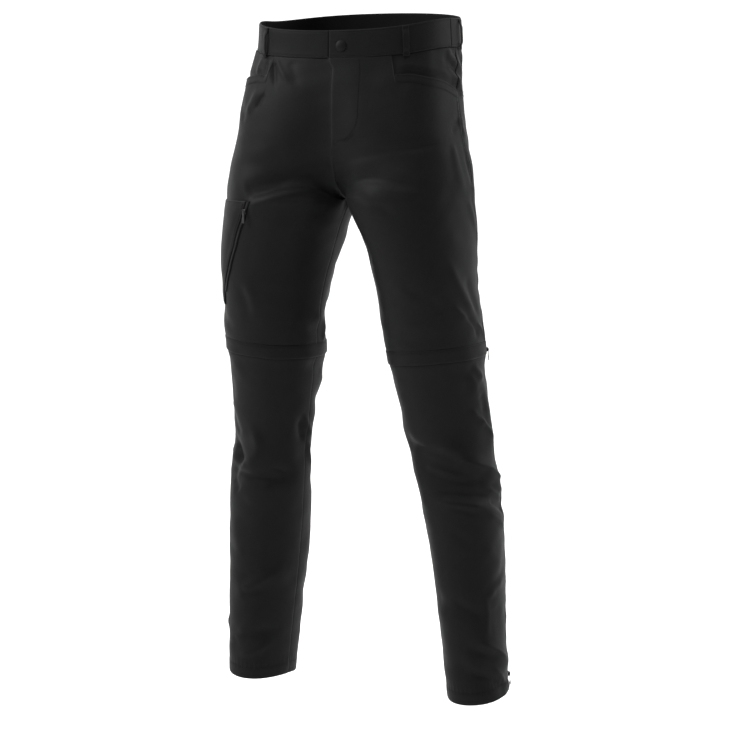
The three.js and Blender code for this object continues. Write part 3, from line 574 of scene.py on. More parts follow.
class Graph:
    """Builds a material's node tree by short calls."""

    def __init__(self, name):
        self.material = bpy.data.materials.new(name)
        self.material.use_nodes = True
        self.tree = self.material.node_tree
        self.shader = self.tree.nodes["Principled BSDF"]

    def node(self, kind, inputs=None, **settings):
        return add_node(self.tree, kind, inputs, **settings)

    def place(self):
        return self.node("ShaderNodeTexCoord").outputs["Object"]

    def math(self, kind, a, b=0.0, c=0.0):
        return self.node("ShaderNodeMath", {0: a, 1: b, 2: c}, operation=kind).outputs[0]

    def mix(self, share, a, b):
        a, b = ((*v, 1.0) if isinstance(v, tuple) else v for v in (a, b))
        return self.node("ShaderNodeMix", {0: share, 6: a, 7: b}, data_type="RGBA").outputs[2]

    def noise(self, place, scale, detail, rough=0.5):
        inputs = {"Vector": place, "Scale": scale, "Detail": detail, "Roughness": rough}
        return self.node("ShaderNodeTexNoise", inputs).outputs[0]

    def bump(self, height, strength, distance, **normal):
        inputs = {"Height": height, "Strength": strength, "Distance": distance, **normal}
        return self.node("ShaderNodeBump", inputs).outputs[0]

    def link(self, source, name):
        self.tree.links.new(source, self.shader.inputs[name])

    def set(self, **values):
        for key, value in values.items():
            self.shader.inputs[key.replace("_", " ")].default_value = value


def cloth_material(name, dark, light, thread, rough, sheen, weave_depth, worn=1.0):
    """Tight plain weave: warp and weft ribs, slubs, uneven dye and paler wear along the edges."""
    g = Graph(name)
    uv = g.node("ShaderNodeUVMap", uv_map="cloth").outputs[0]
    place = g.place()
    split = g.node("ShaderNodeSeparateXYZ", {0: uv})
    ribs = [g.math("SINE", g.math("MULTIPLY", split.outputs[axis], 2 * math.pi / thread)) for axis in (0, 1)]
    weave = g.math("MULTIPLY", *ribs)
    slub = g.noise(uv, 900.0, 3.0, 0.6)
    cloud = g.noise(place, 14.0, 4.0, 0.55)
    grain = g.noise(place, 260.0, 4.0, 0.65)
    tone = g.math("MULTIPLY_ADD", cloud, 0.55, g.math("MULTIPLY", grain, 0.3))
    tone = g.math("ADD", tone, g.math("MULTIPLY", weave, 0.1))
    wear = g.node("ShaderNodeAttribute", attribute_name="wear").outputs["Fac"]
    rubbed = g.math("MULTIPLY", wear, g.math("MULTIPLY_ADD", grain, 1.2, -0.2))
    pale = tuple(min(1.0, v * 2.1 + 0.006) for v in light)
    g.link(g.mix(g.math("MULTIPLY", rubbed, 0.5 * worn), g.mix(tone, dark, light), pale), "Base Color")
    uneven = g.math("MULTIPLY_ADD", cloud, 0.16, rough - 0.08)
    g.link(g.math("ADD", uneven, g.math("MULTIPLY", slub, 0.05)), "Roughness")
    small = g.bump(g.math("MULTIPLY_ADD", slub, 0.5, weave), 0.22, weave_depth)
    g.link(g.bump(g.noise(place, 55.0, 3.0), 0.3, 0.0011, Normal=small), "Normal")
    g.set(Sheen_Weight=sheen, Sheen_Roughness=0.5, Specular_IOR_Level=0.045)
    g.set(Sheen_Tint=(0.9, 0.93, 1.0, 1.0))
    return g.material


def hard_material(name, color, metallic, rough, scratch, gloss=0.3):
    """Lacquered metal or moulded plastic with faint scratches and dust."""
    g = Graph(name)
    place = g.place()
    dust = g.noise(place, 420.0, 5.0, 0.6)
    drawn_out = g.node("ShaderNodeMapping", {"Vector": place, "Scale": (900.0, 900.0, 160.0)}).outputs[0]
    lines = g.noise(drawn_out, 1.0, 2.0)
    pale = tuple(min(1.0, v * 1.9 + 0.03 * gloss) for v in color)
    g.link(g.mix(g.math("MULTIPLY", dust, 0.45), color, pale), "Base Color")
    g.link(g.math("MULTIPLY_ADD", lines, 0.25, rough - 0.1), "Roughness")
    g.link(g.bump(lines, scratch, 0.00012), "Normal")
    g.set(Metallic=metallic, Specular_IOR_Level=gloss)
    return g.material


def thread_material(name, color):
    """Twisted polyester sewing thread."""
    g = Graph(name)
    ply = g.node("ShaderNodeTexWave", {"Vector": g.place(), "Scale": 900.0, "Distortion": 2.0}).outputs["Fac"]
    g.link(g.mix(ply, color, tuple(v * 1.8 for v in color)), "Base Color")
    g.link(g.bump(ply, 0.5, 0.0001), "Normal")
    g.set(Roughness=0.6, Sheen_Weight=0.005, Specular_IOR_Level=0.05)
    return g.material


# Cloth: dark and light tone, thread (m), roughness, sheen, depth of the weave (m), share of wear
SHELL = cloth_material("shell_cloth", grey(0.004), grey(0.0082, 0.0083), 0.0011, 0.5, 0.004, 0.00009)
INNER = cloth_material(
    "inner_cloth", grey(0.0026, 0.0027), grey(0.0048, 0.0049), 0.0009, 0.6, 0.005, 0.00007, 0.3
)
TAPE = cloth_material("zip_tape", grey(0.002, 0.0021), grey(0.0042, 0.0044), 0.0008, 0.72, 0.0, 0.0001, 0.2)
# Hard pieces: tone, metal, roughness, depth of scratches, gloss
TEETH = hard_material("zip_teeth", grey(0.003, 0.0031), 0.0, 0.42, 0.2)
METAL = hard_material("zip_slider", grey(0.012, 0.013), 0.6, 0.42, 0.35)
PLASTIC = hard_material("zip_pull", grey(0.0045, 0.0048), 0.0, 0.5, 0.25)
TIP = hard_material("zip_pull_tip", grey(0.022, 0.023), 0.0, 0.5, 0.2)
STUD = hard_material("press_stud", grey(0.0022, 0.0023), 0.0, 0.5, 0.3, 0.08)
THREAD = thread_material("sewing_thread", grey(0.0026, 0.0027))


# Meshes


def make_object(name, points, faces, materials, body="garment", uv=None, wear=None, face_material=None,
                flat=False):
    mesh = bpy.data.meshes.new(name)
    mesh.from_pydata((np.asarray(points) * MM).tolist(), [], faces)
    for material in materials:
        mesh.materials.append(material)
    if face_material is not None:
        mesh.polygons.foreach_set("material_index", face_material)
    if uv is not None:
        corners = np.zeros(len(mesh.loops), np.int32)
        mesh.loops.foreach_get("vertex_index", corners)
        layer = mesh.uv_layers.new(name="cloth")
        layer.data.foreach_set("uv", (np.asarray(uv)[corners] * MM).astype(np.float32).ravel())
    if wear is not None:
        layer = mesh.attributes.new("wear", "FLOAT", "POINT")
        layer.data.foreach_set("value", np.asarray(wear, np.float32))
    mesh.polygons.foreach_set("use_smooth", [not flat] * len(mesh.polygons))
    mesh.update()
    made = bpy.data.objects.new(name, mesh)
    bpy.context.scene.collection.objects.link(made)
    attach(made, body)
    return made


def wall(name, outer, inner, uv, materials, wear=None):
    """A closed thin wall between two grids of points, with materials for the outer and the inner face."""
    rows, columns = outer.shape[:2]
    layer = rows * columns
    index = np.arange(layer).reshape(rows, columns)
    a, b = index[:-1, :-1].ravel(), index[1:, :-1].ravel()
    c, d = index[1:, 1:].ravel(), index[:-1, 1:].ravel()
    rim = np.concatenate([index[0, :-1], index[:-1, -1], index[-1, :0:-1], index[:0:-1, 0]])
    ahead = np.roll(rim, -1)
    faces = [
        np.stack([a, b, c, d], -1),
        np.stack([a, d, c, b], -1) + layer,
        np.stack([rim, ahead, ahead + layer, rim + layer], -1),
    ]
    points = np.concatenate([outer.reshape(-1, 3), inner.reshape(-1, 3)])
    quads = np.concatenate(faces)
    p = points[quads]
    volume = np.einsum("ij,ij->", p[:, 0], np.cross(p[:, 1], p[:, 2]) + np.cross(p[:, 2], p[:, 3]))
    if volume < 0:
        quads = quads[:, ::-1]
    which = np.zeros(len(quads), np.int32)
    if len(materials) > 1:
        which[len(faces[0]) : 2 * len(faces[0])] = 1
    both = np.concatenate([uv.reshape(-1, 2)] * 2)
    worn = None if wear is None else np.concatenate([wear.ravel(), np.zeros(layer)])
    return make_object(name, points, quads.tolist(), materials, uv=both, wear=worn, face_material=which)


def spread(total, step, edge=(0.6, 1.3, 2.2, 3.4)):
    """Fractions across a width, close together at both edges."""
    inner = np.linspace(edge[-1], total - edge[-1], max(2, int((total - 2 * edge[-1]) / step)))
    return np.concatenate([[0], edge[:-1], inner, total - np.array(edge[-2::-1]), [total]]) / total


def rows_between(start, end, step, edge=(0.6, 1.3, 2.2, 3.4)):
    return start + spread(end - start, step, edge) * (end - start)


def run_length(path):
    return np.concatenate([[0], np.cumsum(np.linalg.norm(np.diff(path, axis=0), axis=1))])


def spot_on(at, along, path):
    """The point of a path at a length along it."""
    return np.stack([np.interp(at, along, path[:, i]) for i in range(3)], -1)


def ring_faces(count, rings, start=0):
    """The faces between neighbouring rings of count points each."""
    return [
        (low + i, low + k, low + count + k, low + count + i)
        for low in range(start, start + (rings - 1) * count, count)
        for i, k in zip(range(count), (*range(1, count), 0))
    ]


def bar_faces(start):
    """A closed bar through four rings of four points."""
    ends = [(start, start + 3, start + 2, start + 1), (start + 12, start + 13, start + 14, start + 15)]
    return ring_faces(4, 4, start) + ends


def folded_edge(distance, deep=0.85):
    """Cloth that rolls inwards towards a sewn or folded edge."""
    return -deep * bell(distance, 1.3)


def seam_ridge(distance, width):
    """The slight ridge that the turned-in cloth makes beside a seam."""
    return 0.45 * smooth(width + 2.5, width - 0.5, distance)


def stitches(name, lines, length=2.6, gap=0.9, thick=0.42):
    """Runs of small rounded stitches. lines are (points, normals) along each line, in mm."""
    points, faces = [], []
    for path, normals in lines:
        along = run_length(path)
        count = int(along[-1] / (length + gap))
        for k in range(count):
            low = (k + 0.5) * along[-1] / count - length / 2
            spots = np.array([low, low + length * 0.25, low + length * 0.75, low + length])
            place, out = spot_on(spots, along, path), unit(spot_on(spots[1], along, normals))
            across = np.cross(unit(place[-1] - place[0]), out)
            faces += bar_faces(len(points))
            for spot, rise, wide in zip(place, (-0.12, 0.2, 0.2, -0.12), (0.55, 1, 1, 0.55)):
                for u, v in ((-1, -0.3), (-0.6, 0.8), (0.6, 0.8), (1, -0.3)):
                    points.append(spot + across * u * thick / 2 * wide + out * (rise + v * thick / 2 * wide))
    make_object(name, np.array(points), faces, [THREAD])


def cut_cloth(made, with_pieces=()):
    node = made.name.removeprefix("cloth_")
    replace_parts(made, node)


# Panels

UPPER_TOP = BAND_HEIGHT + 0.3
UPPER_END = float(row_of(KNEE_TOP))
LOWER_START = float(row_of(KNEE_BOTTOM))
LOWER_END = float(row_of(HEM))
KNEE_ROUND = float(round_length(UPPER_END))
HEM_RISE = 6.0
HEM_SEWING = 18.5
MOUTH_SEWING = 12.6
FLY_SEWING = 36.0
FINE, COARSE = 2.6, 3.6


def mouth_top(a):
    return np.interp(a, MOUTH[:, 0], MOUTH[:, 1])


def front_row(a, full):
    """The front's rows, squeezed together under the pocket's mouth."""
    top = np.where(a < MOUTH[0, 0], UPPER_TOP, mouth_top(a))
    squeezed = top + (full - UPPER_TOP) / (SHARED_FROM - UPPER_TOP) * (SHARED_FROM - top)
    return np.where(full >= SHARED_FROM, full, squeezed)


def back_row(a, full):
    return full


def hem_row(a, full):
    """The lower legs' hems sit a little higher at the front of the foot, as in the solids."""
    return full - HEM_RISE * smooth(LOWER_END - 80, LOWER_END, full) * np.cos(math.pi * a) ** 2


def yoke_row(a):
    return 104 + 16 * a


def to_edge(a, row, turn_at):
    """Millimetres to the panel's first and second side edge."""
    width = np.abs(turn_at(1.0, row) - turn_at(0.0, row)) * round_length(row)
    return a * width, (1 - a) * width


def side_pucker(row, distance, side, strength):
    """Short puckers that the outer seam draws into the cloth."""
    beat = np.sin(row / 5.3 + 2.1 * np.sin(row / 37.0) + side) + 0.6 * np.sin(row / 11.7 + 1.3 * side)
    return strength * beat * bell(distance, 11) * (0.4 + 0.6 * np.sin(row / 61.0 + side) ** 2)


# The shapes say how far a panel's sewn edges and seams lift its cloth: a is the share of its width


def front_shape(side):
    def shape(a, row, turn):
        inner, outer = to_edge(a, row, front_turn)
        drop = drop_of(row)
        lift = folded_edge(outer) + seam_ridge(outer, 7) * smooth(110, 125, drop)
        lift = lift + side_pucker(row, outer, side, 0.55)
        at_fly = smooth(186, 176, drop)
        lift = lift + folded_edge(inner, 0.4) * (1 - at_fly)
        if side > 0:
            lift = lift + at_fly * (1.6 * smooth(60, 24, inner) - 0.7 * bell(inner, 0.9))
            lift = lift - 0.08 * at_fly * bell(inner - FLY_SEWING, 1.6)
        else:
            lift = lift - at_fly * 1.0 * smooth(30, 3, inner)
        mouth = row - np.where(a < MOUTH[0, 0], -50.0, mouth_top(a))
        on_mouth = smooth(0.355, 0.372, a)
        lift = lift + on_mouth * (0.6 * smooth(16, 10, mouth) - 0.35 * bell(mouth, 1.1))
        lift = lift - on_mouth * 0.25 * bell(mouth - MOUTH_SEWING, 1.2)
        top = (row - UPPER_TOP) * (1 - on_mouth) + 60 * on_mouth
        return lift - 0.35 * bell(top, 1.6) - 0.9 * smooth(14, 6, UPPER_END - row)

    return shape


def back_shape(side):
    def shape(a, row, turn):
        outer, inner = to_edge(a, row, back_turn)
        lift = folded_edge(outer) + side_pucker(row, outer, side, 0.5) + folded_edge(inner, 0.4)
        lift = lift + seam_ridge(inner, 7) * smooth(250, 200, row)
        lift = lift - 0.7 * bell(row - UPPER_TOP, 1.6)
        yoke = row - yoke_row(a)
        lift = lift - 0.8 * bell(yoke, 1.3) + 0.4 * smooth(0.0, 1.5, yoke) * smooth(9, 7, np.abs(yoke))
        return lift - 1.0 * smooth(14, 6, UPPER_END - row)

    return shape


def lower_shape(side, turn_at):
    def shape(a, row, turn):
        first, second = to_edge(a, row, turn_at)
        outer, inner = (first, second) if turn_at is back_turn else (second, first)
        lift = folded_edge(outer) + side_pucker(row, outer, side, 0.45) + folded_edge(inner, 0.35)
        if turn_at is front_turn:
            lift = lift + seam_ridge(outer, 6)
        lift = lift - 0.9 * bell(row - LOWER_START, 2.0)
        hem = hem_row(a, np.full_like(row, LOWER_END)) - row
        beat = 0.25 * np.sin(turn * 260 + side) * smooth(40, 20, hem) * smooth(14, 20, hem)
        lift = lift + 0.5 * smooth(20, 18, hem) - 0.4 * bell(hem - HEM_SEWING, 1.3) + beat
        return lift - 0.8 * bell(hem, 1.5)

    return shape


def panel_piece(node, side, turn_at, rows, columns, row_at, shape, end):
    a, full = np.meshgrid(columns, rows)
    row = row_at(a, full)
    turn = turn_at(a, row)
    outer, normal = cloth_at(side, row, turn, shape(a, row, turn))
    near = np.minimum(np.minimum(*to_edge(a, row, turn_at)), np.abs(row - end))
    uv = np.stack([turn * 450.0, row], -1)
    made = wall(f"cloth_{node}", outer, outer - normal * CLOTH, uv, [SHELL, INNER], bell(near, 2.2))
    cut_cloth(made)


front_columns = np.unique(np.concatenate([spread(292, FINE), [0.36, 0.3635, 0.367, 0.3705, 0.374]]))
upper_rows = np.unique(np.concatenate([rows_between(UPPER_TOP, UPPER_END, FINE), [SHARED_FROM]]))
LOWER_PANELS = (("front_lower", front_turn, FINE, 230), ("back_lower", back_turn, COARSE, 210))
for side, word in SIDES:
    panel_piece(f"front_upper_{word}", side, front_turn, upper_rows, front_columns, front_row,
                front_shape(side), UPPER_END)
    panel_piece(f"back_upper_{word}", side, back_turn, rows_between(UPPER_TOP, UPPER_END, COARSE),
                spread(270, COARSE), back_row, back_shape(side), UPPER_END)
    for node, turn_at, step, width in LOWER_PANELS:
        panel_piece(f"{node}_{word}", side, turn_at, rows_between(LOWER_START, LOWER_END, step),
                    spread(width, step), hem_row, lower_shape(side, turn_at), LOWER_END)


# Waistband

BAND_END = 0.47
BAND_ROUND = 480


def band_at(row, turn):
    row, turn = np.broadcast_arrays(np.asarray(row, float), np.asarray(turn, float))
    downward = hip_point(row + 1, turn) - hip_point(np.maximum(row - 1, 0), turn)
    around = hip_point(row, turn + 0.004) - hip_point(row, turn - 0.004)
    return hip_point(row, turn), unit(np.cross(downward, around))


def band_piece(node, start, end, shape):
    width = (end - start) * BAND_ROUND
    a, row = np.meshgrid(spread(width, 2.6), rows_between(0, BAND_HEIGHT, 1.5, (0.4, 0.9, 1.6, 2.6)))
    turn = start + a * (end - start)
    middle, normal = band_at(row, turn)
    edge = np.minimum(row, BAND_HEIGHT - row)
    sides = np.minimum(a, 1 - a) * width
    seam = np.where(row > BAND_HEIGHT / 2, edge, 9.0)
    roll = -1.0 * bell(np.minimum(edge, sides), 1.0) + 0.45 * bell(seam, 1.0)
    lift = 1.0 + roll - 0.45 * bell(edge - 2.4, 0.9) + 0.3 * rumple(middle) + shape(row, turn)
    outer = middle + normal * lift[..., None]
    inner = middle - normal * (1.5 + 0.6 * roll)[..., None]
    uv = np.stack([turn * BAND_ROUND, row], -1)
    made = wall(f"cloth_{node}", outer, inner, uv, [SHELL, INNER], 0.4 * bell(edge, 2))
    cut_cloth(made)


def elastic(row, turn):
    """Elastic gathers at the sides of the back."""
    around = np.abs(turn - 1)
    held = smooth(0.1, 0.14, around) * smooth(0.4, 0.36, around)
    unevenness = 1.1 * np.sin(turn * 41) + 0.4 * np.sin(row / 7)
    beat = np.sin(turn * BAND_ROUND / 5.6 * 2 * math.pi / 1.9 + unevenness)
    return held * beat * smooth(0, 5, row) * smooth(BAND_HEIGHT, BAND_HEIGHT - 5, row)


def lapping(row, turn):
    return 0.9 * smooth(0.09, 0.05, turn)


def lapped(row, turn):
    return -0.5 * smooth(-0.03, 0.0, turn)


band_piece("waistband_left_front", 0.001, BAND_END - 0.0004, lapping)
band_piece("waistband_right_front", -BAND_END + 0.0004, 0.0002, lapped)
band_piece("waistband_back", BAND_END + 0.0004, 2 - BAND_END - 0.0004, elastic)


# Belt loops: the band that carries each, the turn of its middle and how far it stands off

LOOPS = {
    "belt_loop_front_left": ("waistband_left_front", 0.236, 2.6),
    "belt_loop_front_right": ("waistband_right_front", -0.236, 2.8),
    "belt_loop_side_left": ("waistband_back", 0.56, 2.4),
    "belt_loop_side_right": ("waistband_back", -0.56, 2.4),
    "belt_loop_back": ("waistband_back", 1.0, 2.4),
}
LOOP_HALF, LOOP_LENGTH = 5.0, 46
loop_tacks = []
for name, (band, middle_turn, bulge) in LOOPS.items():
    half = LOOP_HALF / float(round_length(20))
    a, b = np.meshgrid([0, 0.06, 0.14, 0.26, 0.4, 0.5, 0.6, 0.74, 0.86, 0.94, 1], np.linspace(0, 1, 40))
    row = 1 + b * LOOP_LENGTH
    first, second = band_at(row, middle_turn - half)[0], band_at(row, middle_turn + half)[0]
    normal = band_at(row, middle_turn)[1]
    middle = first * (1 - a[..., None]) + second * a[..., None]
    edge = np.minimum(a, 1 - a) * 2 * LOOP_HALF
    ribbed = 0.25 * np.sin(np.pi * a) - 0.25 * bell(edge - 1.6, 0.5) - 0.5 * bell(edge, 0.5)
    ends = -0.35 * bell(np.minimum(b, 1 - b) * LOOP_LENGTH, 0.8)
    tilt = 1.1 * (0.5 - a) * np.sign(middle_turn) if "front" in name else 0.0 * a
    rise = 1.8 + bulge * smooth(0.08, 0.3, b) * smooth(0.92, 0.7, b)
    rise = rise + tilt * smooth(0.06, 0.25, b) * smooth(0.94, 0.75, b)
    outer = middle + normal * (rise + 1.3 + ribbed + ends)[..., None]
    inner = middle + normal * rise[..., None]
    uv = np.stack([a * 2 * LOOP_HALF + 700 * middle_turn, row], -1)
    made = wall(f"cloth_{name}", outer, inner, uv, [SHELL], 0.3 * bell(edge, 1.2))
    cut_cloth(made)
    for spot in (2, 3, 36, 37):
        across = normal[spot, 1:-1]
        loop_tacks.append((outer[spot, 1:-1] + across * 0.15, across))
    for column in (2, 8):
        loop_tacks.append((outer[2:-2, column], normal[2:-2, column]))


# Pocket facings: flush with the front above, sinking into the pocket behind the mouth's edge

for side, word, reach, deep in ((1, "left", 17, 3.4), (-1, "right", 12, 1.4)):
    a, b = np.meshgrid(np.linspace(0, 1, 80), np.linspace(0, 1, 44))
    share = 0.33 + a * 0.67
    top = mouth_top(np.maximum(share, MOUTH_START))
    row = UPPER_TOP + b * (top + 24 - UPPER_TOP)
    sink = smooth(reach, 2, top - row)
    at_ends = smooth(0.38, 0.5, share) * smooth(1.0, 0.93, share)
    lift = -1.5 - deep * sink * at_ends + 0.5 * np.sin(share * 31 + side) * at_ends * (1 - sink)
    outer, normal = cloth_at(side, row, front_turn(share, row), lift)
    uv = np.stack([share * 280, row], -1)
    made = wall(f"cloth_pocket_facing_{word}", outer, outer - normal * 0.9, uv, [SHELL, INNER])
    cut_cloth(made)


# Placket behind the fly

a, b = np.meshgrid(np.linspace(0, 1, 18), np.linspace(0, 1, 60))
row, turn = 3 + b * 160, 0.001 + a * 0.085
outer, normal = cloth_at(1, row, turn, -3.0 - 0.4 * smooth(2, 0, a * 20))
made = wall("cloth_fly_placket", outer, outer - normal * 1.0, np.stack([a * 42, row], -1), [INNER])
cut_cloth(made)


# Knee flaps over the zips that take the lower legs off

FLAP_TOP, FLAP_END, FLAP_OPEN = float(row_of(484)), float(row_of(505)), 8.0
FLAP_SEWING = 0.16
knee_seams = []
for side, word in SIDES:
    start = outer_seam(UPPER_END) + FLAP_OPEN / KNEE_ROUND
    end = outer_seam(UPPER_END) + 1 - FLAP_OPEN / KNEE_ROUND
    rows = rows_between(0, 1, 0.055, (0.02, 0.05, 0.09, 0.13))
    a, b = np.meshgrid(spread((end - start) * KNEE_ROUND, 2.4), rows)
    row, turn = FLAP_TOP + b * (FLAP_END - FLAP_TOP), start + a * (end - start)
    wavy = 0.55 * np.sin(turn * 47 + side) + 0.35 * np.sin(turn * 91 + 2 * side)
    lift = 0.6 + 0.9 * b + 0.55 * wavy * b * b
    lift = lift - 0.5 * bell(b, 0.05) - 0.3 * bell(b - FLAP_SEWING, 0.04) - 0.5 * bell(1 - b, 0.04)
    outer, normal = cloth_at(side, row, turn, lift)
    uv = np.stack([turn * KNEE_ROUND, row], -1)
    wear = 0.25 * bell(1 - b, 0.08)
    made = wall(f"cloth_knee_flap_{word}", outer, outer - normal * 1.2, uv, [SHELL, INNER], wear)
    cut_cloth(made)
    at = int(np.argmin(np.abs(rows - FLAP_SEWING)))
    knee_seams.append((outer[at] + normal[at] * 0.2, normal[at]))


# Zips


def teeth(name, line, up, pitch, tooth):
    """Two rows of moulded teeth, one on each side of a line."""
    along = run_length(line)
    count = int(along[-1] / pitch)
    points, faces = [], []
    for k in range(count):
        for sign, shift in ((1, 0.0), (-1, 0.5)):
            at = (k + 0.25 + shift) * along[-1] / count
            spot, out = spot_on(at, along, line), unit(spot_on(at, along, up))
            run = spot_on(at + 0.5, along, line) - spot
            if np.linalg.norm(run) < 1e-6:
                run = spot - spot_on(at - 0.5, along, line)
            run = unit(run)
            across = np.cross(run, out) * sign
            bar = bar_faces(len(points))
            faces += bar if sign > 0 else [face[::-1] for face in bar]
            for s, r in ((-0.35, 0.25), (0.1, 0.5), (1.0, 0.42), (1.25, 0.2)):
                for u, v in ((-1, 0), (-0.7, 1), (0.7, 1), (1, 0)):
                    raised = out * (v * r * tooth * 0.8 - 0.05)
                    points.append(spot + across * s * tooth + run * u * pitch * 0.22 + raised)
    made = make_object(name, np.array(points), faces, [TEETH], flat=True)
    return made


def zip_piece(node, side, grid, low, high, pitch, tooth):
    """Tape with a row of moulded teeth on each side of its middle line. grid(a, b) gives row and turn."""
    a, b = np.meshgrid([0, 0.06, 0.3, 0.42, 0.5, 0.58, 0.7, 0.94, 1], np.linspace(0, 1, 120))
    outer, normal = cloth_at(side, *grid(a, b), high)
    uv = np.stack([a * 7, b * 150], -1)
    made = wall(f"cloth_{node}", outer, outer - normal * (high - low), uv, [TAPE])
    line, up = cloth_at(side, *grid(np.full(300, 0.5), np.linspace(0.01, 0.99, 300)), high)
    cut_cloth(made, [teeth(f"{node}_teeth", line, up, pitch, tooth)])


def knee_grid(a, b):
    first, last = outer_seam(UPPER_END) + 0.5 / KNEE_ROUND, outer_seam(UPPER_END) + 1 - 0.5 / KNEE_ROUND
    return UPPER_END + 0.3 + a * (LOWER_START - UPPER_END - 0.6), first + b * (last - first)


def ankle_grid(a, b):
    row = ANKLE_ROW + 0.5 + b * (LOWER_END - HEM_RISE - 3.5 - ANKLE_ROW)
    half = (ZIP_WIDTH / 2 - 0.1) / round_length(row)
    return row, outer_seam(row) + (2 * a - 1) * half


def pocket_edge(row):
    return np.interp(drop_of(row), THIGH_ZIP[:, 0], THIGH_ZIP[:, 1])


def thigh_grid(a, b):
    row = row_of(THIGH_TOP) + b * (row_of(THIGH_ZIP[-1, 0]) - row_of(THIGH_TOP))
    wide = round_length(row)
    return row, pocket_edge(row) - 0.3 / wide - (1 - a) * ZIP_WIDTH / wide


for side, word in SIDES:
    zip_piece(f"knee_zip_{word}", side, knee_grid, -1.4, -0.5, 1.7, 1.5)
    zip_piece(f"ankle_zip_{word}", side, ankle_grid, -1.4, -0.4, 1.5, 1.3)
zip_piece("thigh_zip", -1, thigh_grid, 0.4, 1.2, 1.5, 1.3)


# Thigh pocket

start_row, end_row = float(row_of(THIGH_TOP)), float(row_of(THIGH_END))
a, row = np.meshgrid(spread(130, 2.2), rows_between(start_row, end_row, 2.2))
first = pocket_edge(row) + 0.3 / round_length(row)
turn = first + a * (THIGH_BACK - first)
width = (THIGH_BACK - first) * round_length(row)
front_edge = a * width
edge = np.minimum.reduce([front_edge, (1 - a) * width, row - start_row, end_row - row])
lift = 1.9 + 0.9 * smooth(3, 18, edge) - 0.9 * bell(edge, 0.9) - 0.45 * bell(edge - 2.4, 0.9)
lift = lift + 0.9 * bell(front_edge, 6) + 0.5 * np.sin(row / 13.0) * bell(front_edge - 12, 10)
outer, normal = cloth_at(-1, row, turn, lift)
uv = np.stack([turn * 560, row], -1)
made = wall("cloth_thigh_pocket", outer, outer - normal * 1.4, uv, [SHELL, INNER], bell(edge, 1.8))
cut_cloth(made)
raised = outer + normal * 0.15
pocket_seams = []
for index in (3, -4):
    pocket_seams.append((raised[4:-4, index], normal[4:-4, index]))
    pocket_seams.append((raised[index, 4:-4], normal[index, 4:-4]))


# Sewing lines


def surface_line(side, row, a, turn_at, shape, lift=0.25):
    """Points and normals of a sewing line on a panel."""
    row, a = np.broadcast_arrays(row, a)
    turn = turn_at(a, row)
    return cloth_at(side, row, turn, shape(a, row, turn) + lift)


def front_width(row):
    return (outer_seam(row) - inner_seam(row)) * round_length(row)


for side, word in SIDES:
    front, low = front_shape(side), lower_shape(side, front_turn)
    behind, low_back = back_shape(side), lower_shape(side, back_turn)
    share = np.linspace(0.385, 0.985, 160)
    rows = [mouth_top(share) + down for down in (MOUTH_SEWING, 2.2)]
    lines = [surface_line(side, row, share, front_turn, front) for row in rows]
    for shape, start, end, insets in (
        (front, 122, UPPER_END - 16, (1.6, 7.0)),
        (low, LOWER_START + 4, LOWER_END - HEM_RISE - 2, (1.6, 6.2)),
    ):
        row = np.linspace(start, end, 300)
        wide = front_width(row)
        lines += [surface_line(side, row, 1 - inset / wide, front_turn, shape) for inset in insets]
    a = np.linspace(0.02, 0.98, 160)
    row = hem_row(a, np.full_like(a, LOWER_END)) - HEM_SEWING
    lines += [surface_line(side, row, a, front_turn, low), surface_line(side, row, a, back_turn, low_back)]
    a = np.linspace(0.02, 0.98, 200)
    lines += [surface_line(side, yoke_row(a) + down, a, back_turn, behind) for down in (2.0, 8.0)]
    row = np.linspace(UPPER_TOP + 4, FORK_END - 40, 240)
    wide = (1 - outer_seam(row)) * round_length(row)
    lines += [surface_line(side, row, 1 - inset / wide, back_turn, behind) for inset in (2.0, 8.0)]
    stitches(f"panel_sewing_{word}", lines)

# The fly's curved line, its bar tacks and the seam below it: rows, millimetres from the middle, lift
bend = np.linspace(0, np.pi / 2, 40)[1:]
curve = np.concatenate([np.linspace(46, 136, 60), 136 + 44 * np.sin(bend)])
inset = np.concatenate([np.full(60, FLY_SEWING), FLY_SEWING * np.cos(bend)])
fly_rows = [(curve, inset, 0.25)]
for start, end, near, far in ((166, 178, 30, 19), (167, 179, 31, 20), (182, 183, 1, 7), (183.2, 184.2, 1, 7)):
    fly_rows.append((np.linspace(start, end, 24), np.linspace(near, far, 24), 0.35))
fly_rows.append((np.linspace(188, FORK_END - 30, 120), 2.2, 0.25))
shape = front_shape(1)
lines = [
    surface_line(1, row, inset / front_width(row), front_turn, shape, lift) for row, inset, lift in fly_rows
]
stitches("fly_sewing", lines, thick=0.5)

band_lines = []
for start, end in ((0.0, 0.466), (-0.466, -0.01), (0.474, 1.526)):
    turn = np.linspace(start, end, int(abs(end - start) * 260))
    lift = 0.7 + (lapping(0, turn) if start == 0.0 else 0.0 * turn)
    for level in (2.4, BAND_HEIGHT - 2.4):
        middle, normal = band_at(level, turn)
        band_lines.append((middle + normal * lift[:, None], normal))
middle, normal = band_at(np.linspace(3, BAND_HEIGHT - 3, 30), 0.006)
band_lines.append((middle + normal * 1.7, normal))
stitches("waistband_sewing", band_lines)
stitches("belt_loop_sewing", loop_tacks, 1.4, 0.5)
stitches("knee_flap_sewing", knee_seams)
stitches("thigh_pocket_sewing", pocket_seams)


# Sliders and pull tabs

